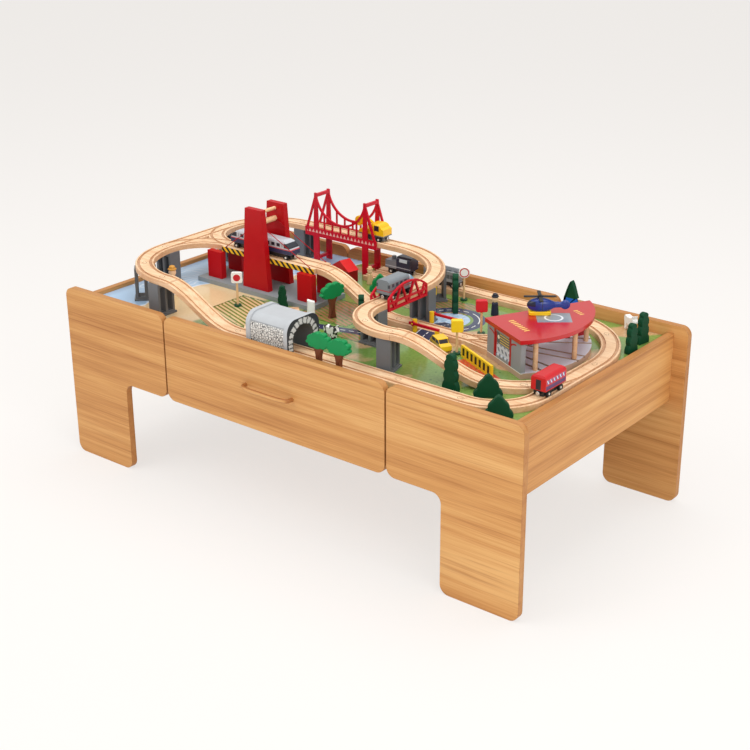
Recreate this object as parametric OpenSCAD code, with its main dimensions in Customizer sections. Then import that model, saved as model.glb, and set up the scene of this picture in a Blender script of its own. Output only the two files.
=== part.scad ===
/* [Table] */
// Length over the leg panels
table_l = 1200; // [1120:1:1300]
// Width over the front and rear faces
table_w = 616; // [590:1:660]
// Height of the rim above the floor
table_h = 394; // [360:1:480]
// Thickness of the panels
panel_t = 15; // [12:0.5:18]
// Width of a leg
leg_w = 176; // [120:1:200]
// Height of the apron that a leg hangs from
apron_h = 187; // [170:1:200]
// Radius of the panel corners
corner_r = 20; // [8:1:30]
// Setback of the end boards from the panel ends
end_inset = 32; // [20:1:40]
// Height of an end board
end_h = 149; // [120:1:155]
// Drop of an end board below the rim
end_drop = 18; // [10:1:24]
// Height of the rim above the play board
rim_h = 26; // [15:1:32]
// Thickness of the play board
board_t = 9; // [6:0.5:12]

/* [Drawers] */
// Width of a drawer face
face_w = 584; // [520:1:620]
// Visible seam between a drawer face and its panels
seam = 4; // [2:0.5:6]
// Thickness of the drawer walls
drawer_wall = 12; // [10:0.5:14]
// Thickness of the drawer bottom
drawer_floor_t = 6; // [4:0.5:8]
// Height of the drawer walls
drawer_h = 110; // [90:1:112]
// Height of a drawer runner
runner_h = 14; // [10:0.5:18]
// Width of a drawer handle
handle_l = 128; // [100:1:160]
// Distance that a handle stands out
handle_out = 22; // [18:0.5:28]
// Height of a handle
handle_h = 12; // [10:0.5:20]
// Width of the finger gap in a handle
handle_gap_l = 88; // [70:1:110]

/* [Track] */
// Width of the track
track_w = 40; // [36:0.5:44]
// Thickness of the track
track_t = 12; // [10:0.5:14]
// Distance between the groove centres
gauge = 26; // [24:0.5:28]
// Width of a groove
groove_w = 6; // [5.5:0.1:7]
// Depth of a groove
groove_d = 3; // [2:0.25:4]
// Radius of the tight curves
small_r = 100; // [90:1:110]
// Radius of the wide curves
big_r = 200; // [180:1:210]
// Height that the raised track is lifted by
lift = 72; // [66:0.5:80]
// Length of a ramp
ramp_l = 200; // [180:1:210]

/* [Bridges] */
// Length of the cable bridge's deck
deck_l = 274; // [260:1:290]
// Width of the cable bridge's deck
deck_w = 56; // [52:0.5:60]
// Height of the cable bridge's towers above the deck
tower_h = 108; // [90:1:130]
// Radius of a bridge cord
cord_r = 0.9; // [0.6:0.1:1.2]
// Length of the suspension bridge
suspension_l = 212; // [190:1:230]
// Height of the suspension bridge's towers above the track
suspension_h = 86; // [70:1:100]
// Height of the girder bridge's arch above the track
girder_h = 32; // [24:1:40]

/* [Buildings] */
// Length of the tunnel
tunnel_l = 110; // [90:1:130]
// Height of the tunnel
tunnel_h = 80; // [74:1:95]
// Radius of the roundhouse roof
house_r = 187; // [180:1:195]
// Height of the roundhouse walls above the floor
house_h = 60; // [50:1:70]
// Height of the barn to its eaves
barn_h = 28; // [20:1:36]
// Height of a crossing post
post_h = 33; // [28:0.5:40]

/* [Rolling stock] */
// Radius of a wheel
wheel_r = 7; // [6:0.25:8]
// Width of a wheel
wheel_t = 5; // [4:0.25:5.2]
// Radius of an axle
axle_r = 1.5; // [1:0.1:2]
// Length of the short vehicles
wagon_l = 70; // [60:1:80]
// Length of the long vehicles
engine_l = 86; // [78:1:92]
// Width of a vehicle body
body_w = 32; // [28:0.5:36]
// Height of a vehicle body
body_h = 30; // [24:0.5:34]

/* [Hidden] */
$fn = 48;
overrun = 1;

// Table
board_gap = 0.5;
panel_y = table_w / 2 - panel_t;
end_x = table_l / 2 - end_inset - panel_t;
play_z = table_h - rim_h;
play_l = 2 * (end_x - board_gap);
play_w = 2 * (panel_y - board_gap);
board_z = play_z - board_t;
apron_z = table_h - apron_h;
panel_x = face_w / 2 + seam;
bearer_set = 2;
bearer_x = panel_x + bearer_set;
bearer_rise = 15;
bearer_z = apron_z + bearer_rise;
rail_t = 15;
rail_rise = 28;
rail_z = bearer_z + rail_rise;
ledge_w = 15;
ledge_h = 20;

// Drawers
drawer_play = 10;
drawer_x = bearer_x - drawer_play;
drawer_rise = 10;
drawer_z = bearer_z + drawer_rise;
drawer_back = rail_t / 2 + drawer_play;
drawer_d = panel_y - drawer_back;
runner_play = 0.5;
runner_depth = 7;
runner_w = drawer_play + runner_depth - runner_play;
runner_z = drawer_z + drawer_h / 2;
runner_stop = 8;
handle_z = apron_z + apron_h / 2;
handle_bar = 11;
handle_round = 6;

// Track
joint_gap = 0.4;
track_chamfer = 1.2;
edge_gap = 3;
left_gap = 28.5;
front_gap = 25;
back_gap = 20;
back_step = 14.5;
right_x = play_l / 2 - edge_gap - track_w / 2;
left_x = -(play_l / 2 - left_gap - track_w / 2);
front_y = -(play_w / 2 - front_gap - track_w / 2);
back_y = play_w / 2 - back_gap - track_w / 2;
raised_y = back_y - back_step;
track_z = play_z;
rail_top = play_z + track_t;
raised_z = play_z + lift;
raised_top = raised_z + track_t;
deck_y = 12;
girder_share = 0.192;
girder_x = girder_share * play_l / 2;
bend = 15;
wye_low = deck_y - small_r;
wye_high = deck_y + small_r;
front_left_r = wye_low - front_y;
back_left_r = raised_y - wye_high;
deck_x = left_x + small_r;
deck_end = deck_x + deck_l;
curve_c = [girder_x - big_r, raised_y - big_r];
bend_drop = 18;
bend_c = [girder_x + small_r, wye_low - bend_drop];
bend_end = bend_c + small_r * [cos(270 + bend), sin(270 + bend)];
ramp_foot = bend_end + ramp_l * [cos(bend), sin(bend)];
merge_r = (right_x - ramp_foot.x) / (1 - sin(bend));
merge_c = [right_x - merge_r, ramp_foot.y + merge_r * cos(bend)];
merge_split = -48;
left_ramp_x = left_x + front_left_r;
middle_foot = deck_end + ramp_l;
switch_l = 95;
switch_x = left_ramp_x + ramp_l + switch_l;
switch_turn = 55;
siding_share = 0.181;
siding_x = siding_share * play_l / 2;
siding_turn = 27.9;
siding_end = siding_x - 2 * big_r * sin(siding_turn);
siding_y = back_y - 2 * big_r * (1 - cos(siding_turn));
siding_start = 13;
near_c = [siding_x, back_y - big_r];
far_c = [siding_end, siding_y + big_r];
back_end_share = -0.29;
back_end = back_end_share * play_l / 2;
fan_share = 0.4615;
fan_p = [fan_share * play_l / 2, deck_y];
fan_turns = [-12, 10, 33];
ramp_steps = 16;
ease_gap = 0.8;
run_on = 1;

// Piers
pier_w = 46;
pier_d = 30;
pier_lip = 3;
pier_foot = 4;
pier_slot = 14;
pier_web = 6;
pier_turn = 6;
pier_shift = 8;

// Bridges
base_t = 10;
base_w = 114;
base_back = 51;
base_front = 15;
pillar_l = 42;
pillar_t = 15;
pillar_lap = 3;
pillar_set = 13;
pillar_in = 18;
tower_share = 0.416;
tower_x = deck_x + tower_share * deck_l;
tower_top = raised_top + tower_h;
tower_t = 14;
tower_play = 0.3;
tower_base = 76;
tower_tip = 48;
top_dowel_r = 4;
top_dowel_drop = 12;
cord_dowel_r = 6;
cord_dowel_drop = 35;
cord_set = 12;
side_t = 4;
side_play = 0.3;
beam_drop = 6;
beam_lip = 2;
suspension_gap = 4;
suspension_x = left_x + back_left_r + pier_d / 2 + pier_lip + suspension_gap + suspension_l / 2;
tower_off = 73;
tower_foot = 16;
tower_head = 7;
tower_cap = 6;
sag_rise = 26;
strut_rise = 14;
cable_w = 5;
hanger_count = 2;
hanger_gap = 24;
hanger_w = 3;
girder_low = 8;
girder_web = 4;
girder_low_y = bend_c.y + pier_d / 2 + pier_lip;
girder_high_y = curve_c.y + big_r * sin(pier_turn) - pier_d / 2 - pier_lip;
girder_l = girder_high_y - girder_low_y;

// Buildings
tunnel_share = -0.036;
tunnel_x = tunnel_share * play_l / 2;
tunnel_w = 96;
tunnel_shift = 7.5;
tunnel_round = 26;
tunnel_bore = 30;
tunnel_rise = 34;
collar_lip = 3;
collar_l = 10;
house_share = [0.5937, -0.1026];
house_p = at(house_share);
house_turn = -27;
house_c = [-47, 56];
house_front = 8;
house_lip = 4;
house_floor_x = house_lip - house_front;
house_wall = 8;
house_wall_l = 122;
house_post = 10;
front_post_y = 91;
end_post_y = 178;
end_wall_y = 200;
end_wall_l = 26;
lintel_h = 12;
notice_set = 27;
notice_l = 59;
panel_cut = 1.5;
panel_rise = 8;
roof_t = 8;
column_r = 5;
column_set = 15;
column_turns = [-6, 28, 62];
barn_share = [-0.353, 0.56];
barn_turn = -12;
barn_w = 58;
barn_d = 30;
barn_eave = 4;
barn_pitch = 20;
barn_door = 24;
crossing_share = 0.313;
crossing_x = crossing_share * play_l / 2;
road_w = 44;
road_near = track_w / 2 + side_play;
road_far = 60;
road_edge = 3;
post_set = 9;
post_r = 5;
post_y = 29;
bar_play = 0.3;
bar_t = 4;
bar_h = 5;
bar_y = post_y + post_r + bar_play + bar_t / 2;
bar_tail = 9;
pin_z = post_h - 6 * bar_play - bar_h;
pin_r = 2;
pin_out = 1;
pin_play = 0.05;

// Toys on the board
cut_t = 12;
view_turn = 39;
trunk_share = 0.16;
leafy_shares = [[0, 0.62, 0.15], [-0.14, 0.68, 0.16], [0.14, 0.69, 0.16], [-0.09, 0.83, 0.15],
                [0.1, 0.82, 0.15], [0, 0.87, 0.13]];
tier_shares = [[0.22, 0.18, 0.6], [0.18, 0.4, 0.8], [0.14, 0.62, 1]];
bush_shares = [[-0.25, 0.3, 0.35], [0.25, 0.3, 0.35], [0, 0.55, 0.45]];
leafy_shares_at = [[0.199, -0.957, 0], [0.29, -0.957, 0], [-0.103, -0.15, 39], [0.067, -0.21, -51],
                   [0.226, 0.505, -51], [0.963, 0.773, 80], [0.978, 0.568, 80]];
leafy_heights = [80, 78, 80, 76, 84, 66, 62];
conifer_shares_at = [[-0.326, -0.218, 39], [0.673, -0.714, 0], [0.597, 0.967, 0]];
conifer_heights = [50, 74, 75];
bush_shares_at = [[-0.148, 0.513, 39], [0.802, -0.653, 39], [0.925, -0.879, 37]];
bush_heights = [40, 46, 45];
sign_shares = [[0.181, 0.735], [-0.478, -0.393], [0.494, -0.178], [0.119, 0.482], [0.449, 0.232]];
sign_heights = [76, 77, 72, 50, 74];
sign_plate = 24;
sign_t = 7;
box_t = 14;
sign_post_r = 2.5;
sign_foot = 4;
sign_foot_r = 8;
fence_share = [0.619, -0.284];
fence_l = 125;
fence_h = 25;
fence_t = 5;
fence_rail = 4;
fence_count = 8;
fence_picket = 7;
peg_shares = [[0, 0], [0.2, 0], [0.2, 0.06], [0.16, 0.55], [0.1, 0.62], [0.16, 0.7], [0.17, 0.8],
              [0.19, 0.84], [0.19, 0.88], [0.15, 0.9], [0.13, 1], [0, 1]];
peg_shares_at = [[0.373, 0.612], [-0.807, -0.451], [-0.235, 0.595]];
peg_heights = [49, 60, 42];
animal_shares = [[-0.5, 0.35, 1, 0.4], [-0.5, 0, 0.18, 0.4], [0.32, 0, 0.18, 0.4],
                 [0.3, 0.6, 0.22, 0.25]];
animal_head_share = [0.5, 0.82, 0.18];
animal_shares_at = [[0.867, 0.926, -40], [0.049, -0.503, -20]];
animal_heights = [40, 38];
milestone_share = [-0.181, -0.212];
milestone_h = 36;
milestone_w_share = 0.45;
milestone_top_share = 0.85;
car_share = [0.42, -0.171];
car_turn = -30;
car_l = 55;
car_w = 24;
car_wheel_r = 6;
car_wheel_out = 1.5;
car_shares = [[-0.5, 0], [0.5, 0], [0.5, 0.16], [0.3, 0.2], [0.16, 0.36], [-0.3, 0.36],
              [-0.42, 0.2], [-0.5, 0.18]];

// Helicopter
pad_share = [0.711, 0.195];
pad_turn = 38;
cabin_r = 13;
cabin_z = 18;
tail_l = 58;
hull_shares = [[-0.38, 0], [-0.36, 0.4], [-0.28, 0.78], [-0.14, 0.97], [0, 1], [0.16, 0.92],
               [0.4, 0.5], [0.9, 0.36], [0.95, 0]];
fin_r = 9;
fin_t = 5;
mast_r = 2;
mast_h = 9;
float_l = 44;
float_w = 24;
float_h = 8;
float_round = 6;
rotor_l = 64;
rotor_hub_r = 5;
rotor_hub_h = 5;
rotor_drop = 6;
blade_w = 7;
blade_t = 2;

// Rolling stock
run_gap = 0.3;
axle_z = wheel_r - groove_d + run_gap;
tread_cut = 0.6;
dish_d = 1;
dish_rim = 1.6;
body_gap = 0.7;
body_z = axle_z + wheel_r + body_gap;
chassis_play = 0.6;
chassis_w = gauge - wheel_t - 2 * chassis_play;
chassis_z = 1.5;
chassis_in = 4;
axle_off = 28;
wagon_axle = 20;
roof_r = 8;
car_gap = 6;
hook_w = 6;
hook_h = 4;
hopper_h = 24;
hopper_wall = 3;
hopper_floor = 4;
chimney_r = 5;
chimney_share = 0.62;
jib_t = 8;
jib_w = 7;
nose_shares = [[-1, 0], [1, 0], [1, 0.3], [0.9, 0.55], [0.62, 0.9], [0.45, 1], [-1, 1]];
coach_shares = [[-1, 0], [1, 0], [1, 0.86], [0.94, 1], [-0.94, 1], [-1, 0.86]];
hopper_shares = [[-0.7, 0], [0.7, 0], [1, 0.7], [1, 1], [-1, 1], [-1, 0.7]];
shunter_shares = [[-1, 0], [1, 0], [1, 0.6], [0.1, 0.6], [0.1, 1], [-1, 1]];
crane_shares = [[-1, 0], [1, 0], [1, 0.3], [0.2, 0.45], [0.05, 0.92], [-0.45, 0.92], [-1, 0.55]];
cab_shares = [-0.45, 0.55, 0.42];
jib_shares = [[-0.2, 0.5], [0.85, 1.15]];
bucket_r = 9;
express_share = -0.5375;
coach_share = -0.417;
hopper_share = 0.06;
shunter_share = -0.181;
streamliner_share = -0.116;
crane_share = -0.2986;
express_at = [[express_share * play_l / 2, deck_y], 0, raised_top];
coach_at = [[right_x, coach_share * play_w / 2], 90, rail_top];
hopper_at = [[hopper_share * play_l / 2, back_y], 0, rail_top];
shunter_at = [[shunter_share * play_l / 2, back_y], 180, rail_top];
streamliner_at = [[girder_x, streamliner_share * play_w / 2], 90, raised_top];
crane_at = [[crane_share * play_l / 2, raised_y], 180, raised_top];

function at(share) = [share.x * play_l / 2, share.y * play_w / 2];

// Rounded rectangle about its centre
module round_rect(w, h, r) {
    square([w - 2 * r, h], center = true);
    square([w, h - 2 * r], center = true);
    for (sx = [-1, 1], sy = [-1, 1])
        translate([sx * (w / 2 - r), sy * (h / 2 - r)])
            circle(r);
}

// Leg panel outline, leg to the right, with a rounded inner corner
module leg_outline() {
    apron_w = table_l / 2 - panel_x;
    translate([panel_x + apron_w / 2, apron_z + apron_h / 2])
        round_rect(apron_w, apron_h, corner_r);
    translate([table_l / 2 - leg_w / 2, table_h / 2])
        round_rect(leg_w, table_h, corner_r);
    difference() {
        translate([table_l / 2 - leg_w - corner_r, apron_z - corner_r])
            square([corner_r + overrun, corner_r + overrun]);
        translate([table_l / 2 - leg_w - corner_r, apron_z - corner_r])
            circle(corner_r);
    }
}

module leg_panel() {
    translate([0, -panel_y, 0])
        rotate([90, 0, 0])
            linear_extrude(panel_t)
                leg_outline();
}

module leg_front_right() color("burlywood") leg_panel();
module leg_front_left() color("burlywood") mirror([1, 0, 0]) leg_panel();
module leg_rear_right() color("burlywood") mirror([0, 1, 0]) leg_panel();
module leg_rear_left() color("burlywood") mirror([1, 0, 0]) mirror([0, 1, 0]) leg_panel();

module end_boards() color("burlywood")
    for (s = [-1, 1])
        translate([s * (end_x + panel_t / 2) - panel_t / 2, -panel_y, table_h - end_drop - end_h])
            cube([panel_t, 2 * panel_y, end_h]);

module play_board() color("tan")
    translate([-play_l / 2, -play_w / 2, board_z])
        cube([play_l, play_w, board_t]);

module cross_bearers() color("burlywood") {
    for (s = [0, 1])
        mirror([s, 0, 0])
            bearer();
}

// One bearer with its two drawer runners
module bearer() {
    translate([bearer_x, -panel_y, bearer_z])
        cube([panel_t, 2 * panel_y, board_z - bearer_z]);
    for (s = [0, 1])
        mirror([0, s, 0])
            translate([bearer_x - runner_w, drawer_back, runner_z - runner_h / 2])
                cube([runner_w + overrun, drawer_d - drawer_wall - runner_stop, runner_h]);
}

module support_rails() color("burlywood") {
    translate([-bearer_x, -rail_t / 2, rail_z])
        cube([2 * bearer_x, rail_t, board_z - rail_z]);
    for (sx = [0, 1]) mirror([sx, 0, 0]) {
        translate([end_x - ledge_w, -panel_y, board_z - ledge_h])
            cube([ledge_w, 2 * panel_y, ledge_h]);
        for (sy = [0, 1])
            mirror([0, sy, 0])
                translate([bearer_x + panel_t, panel_y - ledge_w, board_z - ledge_h])
                    cube([end_x - ledge_w - bearer_x - panel_t, ledge_w, ledge_h]);
    }
}

module drawer_face() {
    translate([0, -panel_y, apron_z + apron_h / 2])
        rotate([90, 0, 0])
            linear_extrude(panel_t)
                round_rect(face_w, apron_h, corner_r);
}

module drawer_box() {
    difference() {
        translate([-drawer_x, -panel_y, drawer_z])
            cube([2 * drawer_x, drawer_d, drawer_h]);
        translate([drawer_wall - drawer_x, drawer_wall - panel_y, drawer_z + drawer_floor_t])
            cube([2 * (drawer_x - drawer_wall), drawer_d - 2 * drawer_wall, drawer_h]);
        for (s = [0, 1])
            mirror([s, 0, 0])
                translate([drawer_x - runner_depth, drawer_wall - panel_y,
                           runner_z - runner_h / 2 - runner_play])
                    cube([runner_depth + overrun, drawer_d, runner_h + 2 * runner_play]);
    }
}

// Bow handle: a rounded bar with a finger gap behind it
module drawer_handle() {
    translate([0, -panel_y - panel_t, handle_z - handle_h / 2])
        linear_extrude(handle_h)
            difference() {
                union() {
                    translate([0, -handle_out / 2])
                        round_rect(handle_l, handle_out, handle_round);
                    translate([-handle_l / 2, -handle_round])
                        square([handle_l, handle_round]);
                }
                translate([-handle_gap_l / 2, handle_bar - handle_out])
                    square([handle_gap_l, handle_out]);
            }
}

module front_drawer_face() color("burlywood") drawer_face();
module front_drawer_box() color("wheat") drawer_box();
module front_drawer_handle() color("peru") drawer_handle();
module rear_drawer_face() color("burlywood") rotate([0, 0, 180]) drawer_face();
module rear_drawer_box() color("wheat") rotate([0, 0, 180]) drawer_box();
module rear_drawer_handle() color("peru") rotate([0, 0, 180]) drawer_handle();

// Track section: x across the track, y up
module track_block() {
    polygon([[-track_w / 2, 0], [track_w / 2, 0], [track_w / 2, track_t - track_chamfer],
             [track_w / 2 - track_chamfer, track_t], [track_chamfer - track_w / 2, track_t],
             [-track_w / 2, track_t - track_chamfer]]);
}

// Switches keep their square edges
module switch_block() {
    translate([-track_w / 2, 0])
        square([track_w, track_t]);
}

module track_grooves() {
    for (s = [-1, 1])
        translate([s * gauge / 2 - groove_w / 2, track_t - groove_d])
            square([groove_w, groove_d + overrun]);
}

module track_profile() {
    difference() {
        track_block();
        track_grooves();
    }
}

// Section swept from p along a heading, trimmed (or run on) at both ends
module straight(p, heading, l, level, trim = joint_gap / 2) {
    translate([p.x, p.y, level])
        rotate([0, 0, heading])
            translate([trim, 0, 0])
                rotate([90, 0, 90])
                    linear_extrude(l - 2 * trim)
                        children();
}

// Section swept about c from angle a to angle b, trimmed (or run on) at both ends
module curve(c, r, a, b, level, trim = joint_gap / 2) {
    cut = trim / r * 180 / PI;
    translate([c.x, c.y, level])
        rotate([0, 0, a + cut])
            rotate_extrude(angle = b - a - 2 * cut)
                translate([r, 0])
                    children();
}

module run(p, heading, l, level, count) {
    for (i = [0 : count - 1])
        straight(p + i * l / count * [cos(heading), sin(heading)], heading, l / count, level)
            track_profile();
}

module bends(c, r, a, b, level, count) {
    for (i = [0 : count - 1])
        curve(c, r, a + i * (b - a) / count, a + (i + 1) * (b - a) / count, level)
            track_profile();
}

// Angle at which a curve has left its tangent by the ease gap
function ease(r) = acos(1 - ease_gap / r);

// Right straight with the merging curve
module merge_switch() {
    low = front_y + small_r;
    high = back_y - big_r;
    stop = -ease(merge_r);
    difference() {
        union() {
            straight([right_x, low], 90, high - low, track_z) switch_block();
            curve(merge_c, merge_r, merge_split, stop, track_z) switch_block();
        }
        straight([right_x, low], 90, high - low, track_z, -overrun) track_grooves();
        curve(merge_c, merge_r, merge_split, stop, track_z, -overrun) track_grooves();
    }
}

// Front straight with the branch to the bridge
module branch_switch() {
    c = [switch_x, front_y + small_r];
    stop = 270 - ease(small_r);
    difference() {
        union() {
            straight([switch_x - switch_l, front_y], 0, switch_l, track_z) switch_block();
            curve(c, small_r, 270 - switch_turn, stop, track_z) switch_block();
        }
        straight([switch_x - switch_l, front_y], 0, switch_l, track_z, -overrun) track_grooves();
        curve(c, small_r, 270 - switch_turn, stop, track_z, -overrun) track_grooves();
    }
}

// Back straight with the grooves of the siding, which runs off in two opposite arcs
module siding_switch() {
    l = siding_x - siding_end;
    difference() {
        straight([siding_end, back_y], 0, l, track_z) switch_block();
        straight([siding_end, back_y], 0, l, track_z, -overrun) track_grooves();
        curve(near_c, big_r, 90 + ease(big_r), 90 + siding_turn, track_z, 0) track_grooves();
        curve(far_c, big_r, 270 - run_on, 270 + siding_turn, track_z, 0) track_grooves();
    }
}

// Arc of the siding, cut back to leave room for the straight
module siding_arc(c, a, b) {
    difference() {
        curve(c, big_r, a, b, track_z) switch_block();
        curve(c, big_r, a, b, track_z, -overrun) track_grooves();
        translate([siding_end - overrun, back_y - track_w / 2 - joint_gap, track_z - overrun])
            cube([siding_x - siding_end + 2 * overrun, track_w, track_t + 2 * overrun]);
    }
}

module siding() {
    siding_switch();
    siding_arc(near_c, 90 + siding_start, 90 + siding_turn);
    siding_arc(far_c, 270, 270 + siding_turn);
}

// Strips of the fan in plan, side by side with the middle of each leg
module fan_strips(offsets, w) {
    translate([fan_p.x, fan_p.y])
        for (turn = fan_turns, y = offsets)
            rotate(turn)
                translate([-track_w, y - w / 2])
                    square([house_r + 2 * track_w, w]);
}

// Fan of straights to the stalls, cut off at the main line and along the roundhouse floor
module fan_switch() {
    difference() {
        translate([0, 0, track_z])
            linear_extrude(track_t)
                fan_strips([0], track_w);
        translate([0, 0, rail_top - groove_d])
            linear_extrude(groove_d + overrun)
                fan_strips([-gauge / 2, gauge / 2], groove_w);
        translate([fan_p.x + joint_gap / 2 - 2 * track_w, fan_p.y - track_w, track_z - overrun])
            cube([2 * track_w, 2 * track_w, track_t + 2 * overrun]);
        in_house()
            translate([house_floor_x - joint_gap, -house_r, track_z - overrun])
                cube([2 * house_r, 3 * house_r, track_t + 2 * overrun]);
    }
}

module ground_track() color("wheat") {
    merge_switch();
    bends(merge_c, merge_r, bend - 90, merge_split, track_z, 1);
    bends([right_x - small_r, front_y + small_r], small_r, -90, 0, track_z, 1);
    bends([right_x - big_r, back_y - big_r], big_r, 0, 90, track_z, 2);
    run([siding_x, back_y], 0, right_x - big_r - siding_x, track_z, 2);
    siding();
    run([back_end, back_y], 0, siding_end - back_end, track_z, 1);
    run([back_end, siding_y], 0, siding_end - back_end, track_z, 1);
    run([switch_x, front_y], 0, right_x - small_r - switch_x, track_z, 3);
    branch_switch();
    bends([switch_x, front_y + small_r], small_r, 135, 270 - switch_turn, track_z, 2);
    run([middle_foot, deck_y], 0, fan_p.x - middle_foot, track_z, 3);
    fan_switch();
}

// Three-legged switch at the end of the cable bridge
module wye_switch() {
    difference() {
        union() {
            straight([left_x, wye_low], 90, 2 * small_r, raised_z) track_block();
            curve([deck_x, wye_low], small_r, 90, 180, raised_z) track_block();
            curve([deck_x, wye_high], small_r, 180, 270, raised_z) track_block();
        }
        straight([left_x, wye_low], 90, 2 * small_r, raised_z, -overrun) track_grooves();
        curve([deck_x, wye_low], small_r, 90, 180, raised_z, -overrun) track_grooves();
        curve([deck_x, wye_high], small_r, 180, 270, raised_z, -overrun) track_grooves();
    }
}

module raised_track() color("wheat") {
    wye_switch();
    bends([left_ramp_x, wye_low], front_left_r, 180, 270, raised_z, 2);
    bends([left_x + back_left_r, wye_high], back_left_r, 90, 180, raised_z, 2);
    run([left_x + back_left_r, raised_y], 0, curve_c.x - left_x - back_left_r, raised_z, 2);
    bends(curve_c, big_r, 0, 90, raised_z, 2);
    run([girder_x, bend_c.y], 90, curve_c.y - bend_c.y, raised_z, 1);
    bends(bend_c, small_r, 180, 270 + bend, raised_z, 2);
}

// Top line of a ramp as a smooth fall from the lift to the ground
function fall(t) = lift * (1 + cos(180 * t)) / 2;
function ramp_line(up, x) =
    [for (i = [0 : ramp_steps]) [x * i / ramp_steps, fall(i / ramp_steps) + up]];

module ramp_side(low, high) {
    top = ramp_line(high, ramp_l - joint_gap);
    base = ramp_line(low, ramp_l - joint_gap);
    polygon(concat(top, [for (i = [ramp_steps : -1 : 0]) base[i]]));
}

module ramp(p, heading) {
    translate([p.x, p.y, track_z])
        rotate([0, 0, heading])
            translate([joint_gap / 2, 0, 0])
                rotate([90, 0, 0])
                    difference() {
                        linear_extrude(track_w, center = true)
                            ramp_side(0, track_t);
                        for (s = [-1, 1])
                            translate([0, 0, s * gauge / 2])
                                linear_extrude(groove_w, center = true)
                                    ramp_side(track_t - groove_d, track_t + overrun);
                    }
}

module ramps() color("wheat") {
    ramp([left_ramp_x, front_y], 0);
    ramp([deck_end, deck_y], 0);
    ramp(bend_end, bend);
}

// Slotted pier with a foot plate, standing on the board
module pier(p, heading) {
    translate([p.x, p.y, play_z])
        rotate([0, 0, heading])
            difference() {
                union() {
                    translate([-pier_d / 2, -pier_w / 2, 0])
                        cube([pier_d, pier_w, lift]);
                    translate([-pier_d / 2 - pier_lip, -pier_w / 2 - pier_lip, 0])
                        cube([pier_d + 2 * pier_lip, pier_w + 2 * pier_lip, pier_foot]);
                }
                for (s = [-1, 1])
                    translate([-pier_d, s * (pier_slot + pier_web) / 2 - pier_slot / 2, 2 * pier_foot])
                        cube([2 * pier_d, pier_slot, lift - 4 * pier_foot]);
            }
}

module track_piers() color("gray") {
    pier([left_ramp_x - pier_d / 2, front_y], 0);
    pier([left_ramp_x, wye_low] + front_left_r * [cos(225), sin(225)], 315);
    pier([left_x, wye_low], 90);
    pier([left_x, wye_high], 90);
    pier([left_x + back_left_r, raised_y], 0);
    pier(curve_c + big_r * [cos(45), sin(45)], 135);
    pier(curve_c + big_r * [cos(pier_turn), sin(pier_turn)], 90 + pier_turn);
    pier([girder_x, bend_c.y], 90);
    pier(bend_end + pier_shift * [-sin(bend), cos(bend)] - pier_d / 2 * [cos(bend), sin(bend)], bend);
}

module cable_bridge_base() color("silver")
    translate([deck_x - base_back, deck_y - base_w / 2, play_z])
        cube([base_back + deck_l + base_front, base_w, base_t]);

module cable_bridge_pillars() color("firebrick")
    for (x = [deck_x - pillar_set, deck_end - pillar_in], s = [0, 1])
        translate([x - pillar_l / 2, deck_y, play_z + base_t])
            mirror([0, s, 0])
                translate([0, deck_w / 2 - pillar_lap, 0])
                    cube([pillar_l, pillar_t, lift - base_t]);

module cable_bridge_deck() color("wheat")
    straight([deck_x, deck_y], 0, deck_l, raised_z)
        difference() {
            translate([-deck_w / 2, 0])
                square([deck_w, track_t]);
            track_grooves();
        }

// Two tapered slabs joined by dowels above the deck
module cable_bridge_towers() color("firebrick") {
    for (s = [0, 1])
        translate([tower_x, deck_y, 0])
            mirror([0, s, 0])
                translate([0, deck_w / 2 + tower_play + tower_t, 0])
                    rotate([90, 0, 0])
                        linear_extrude(tower_t)
                            polygon([[-tower_base / 2, play_z + base_t], [tower_base / 2, play_z + base_t],
                                     [tower_tip / 2, tower_top], [-tower_tip / 2, tower_top]]);
    for (d = [[top_dowel_r, top_dowel_drop], [cord_dowel_r, cord_dowel_drop]])
        translate([tower_x, deck_y, tower_top - d[1]])
            rotate([90, 0, 0])
                cylinder(h = deck_w + 2 * tower_play + tower_t, r = d[0], center = true);
}

// Taut cords from the lower dowel to the deck
module bridge_cords() color("red")
    for (x = [deck_x + cord_set, deck_end - cord_set], s = [-1, 1]) {
        run_x = tower_x - x;
        rise = tower_top - cord_dowel_drop - raised_top - cord_r;
        translate([x, deck_y + s * (deck_w / 2 - 2 * cord_r), raised_top + cord_r])
            rotate([0, atan2(run_x, rise), 0])
                cylinder(h = norm([run_x, rise]) - cord_dowel_r - joint_gap / 2, r = cord_r);
    }

// Bar between two points of an outline
module bar(a, b, w) {
    translate(a)
        rotate(atan2(b.y - a.y, b.x - a.x))
            translate([0, -w / 2])
                square([norm(b - a), w]);
}

module mirrored() {
    children();
    mirror([1, 0]) children();
}

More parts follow.
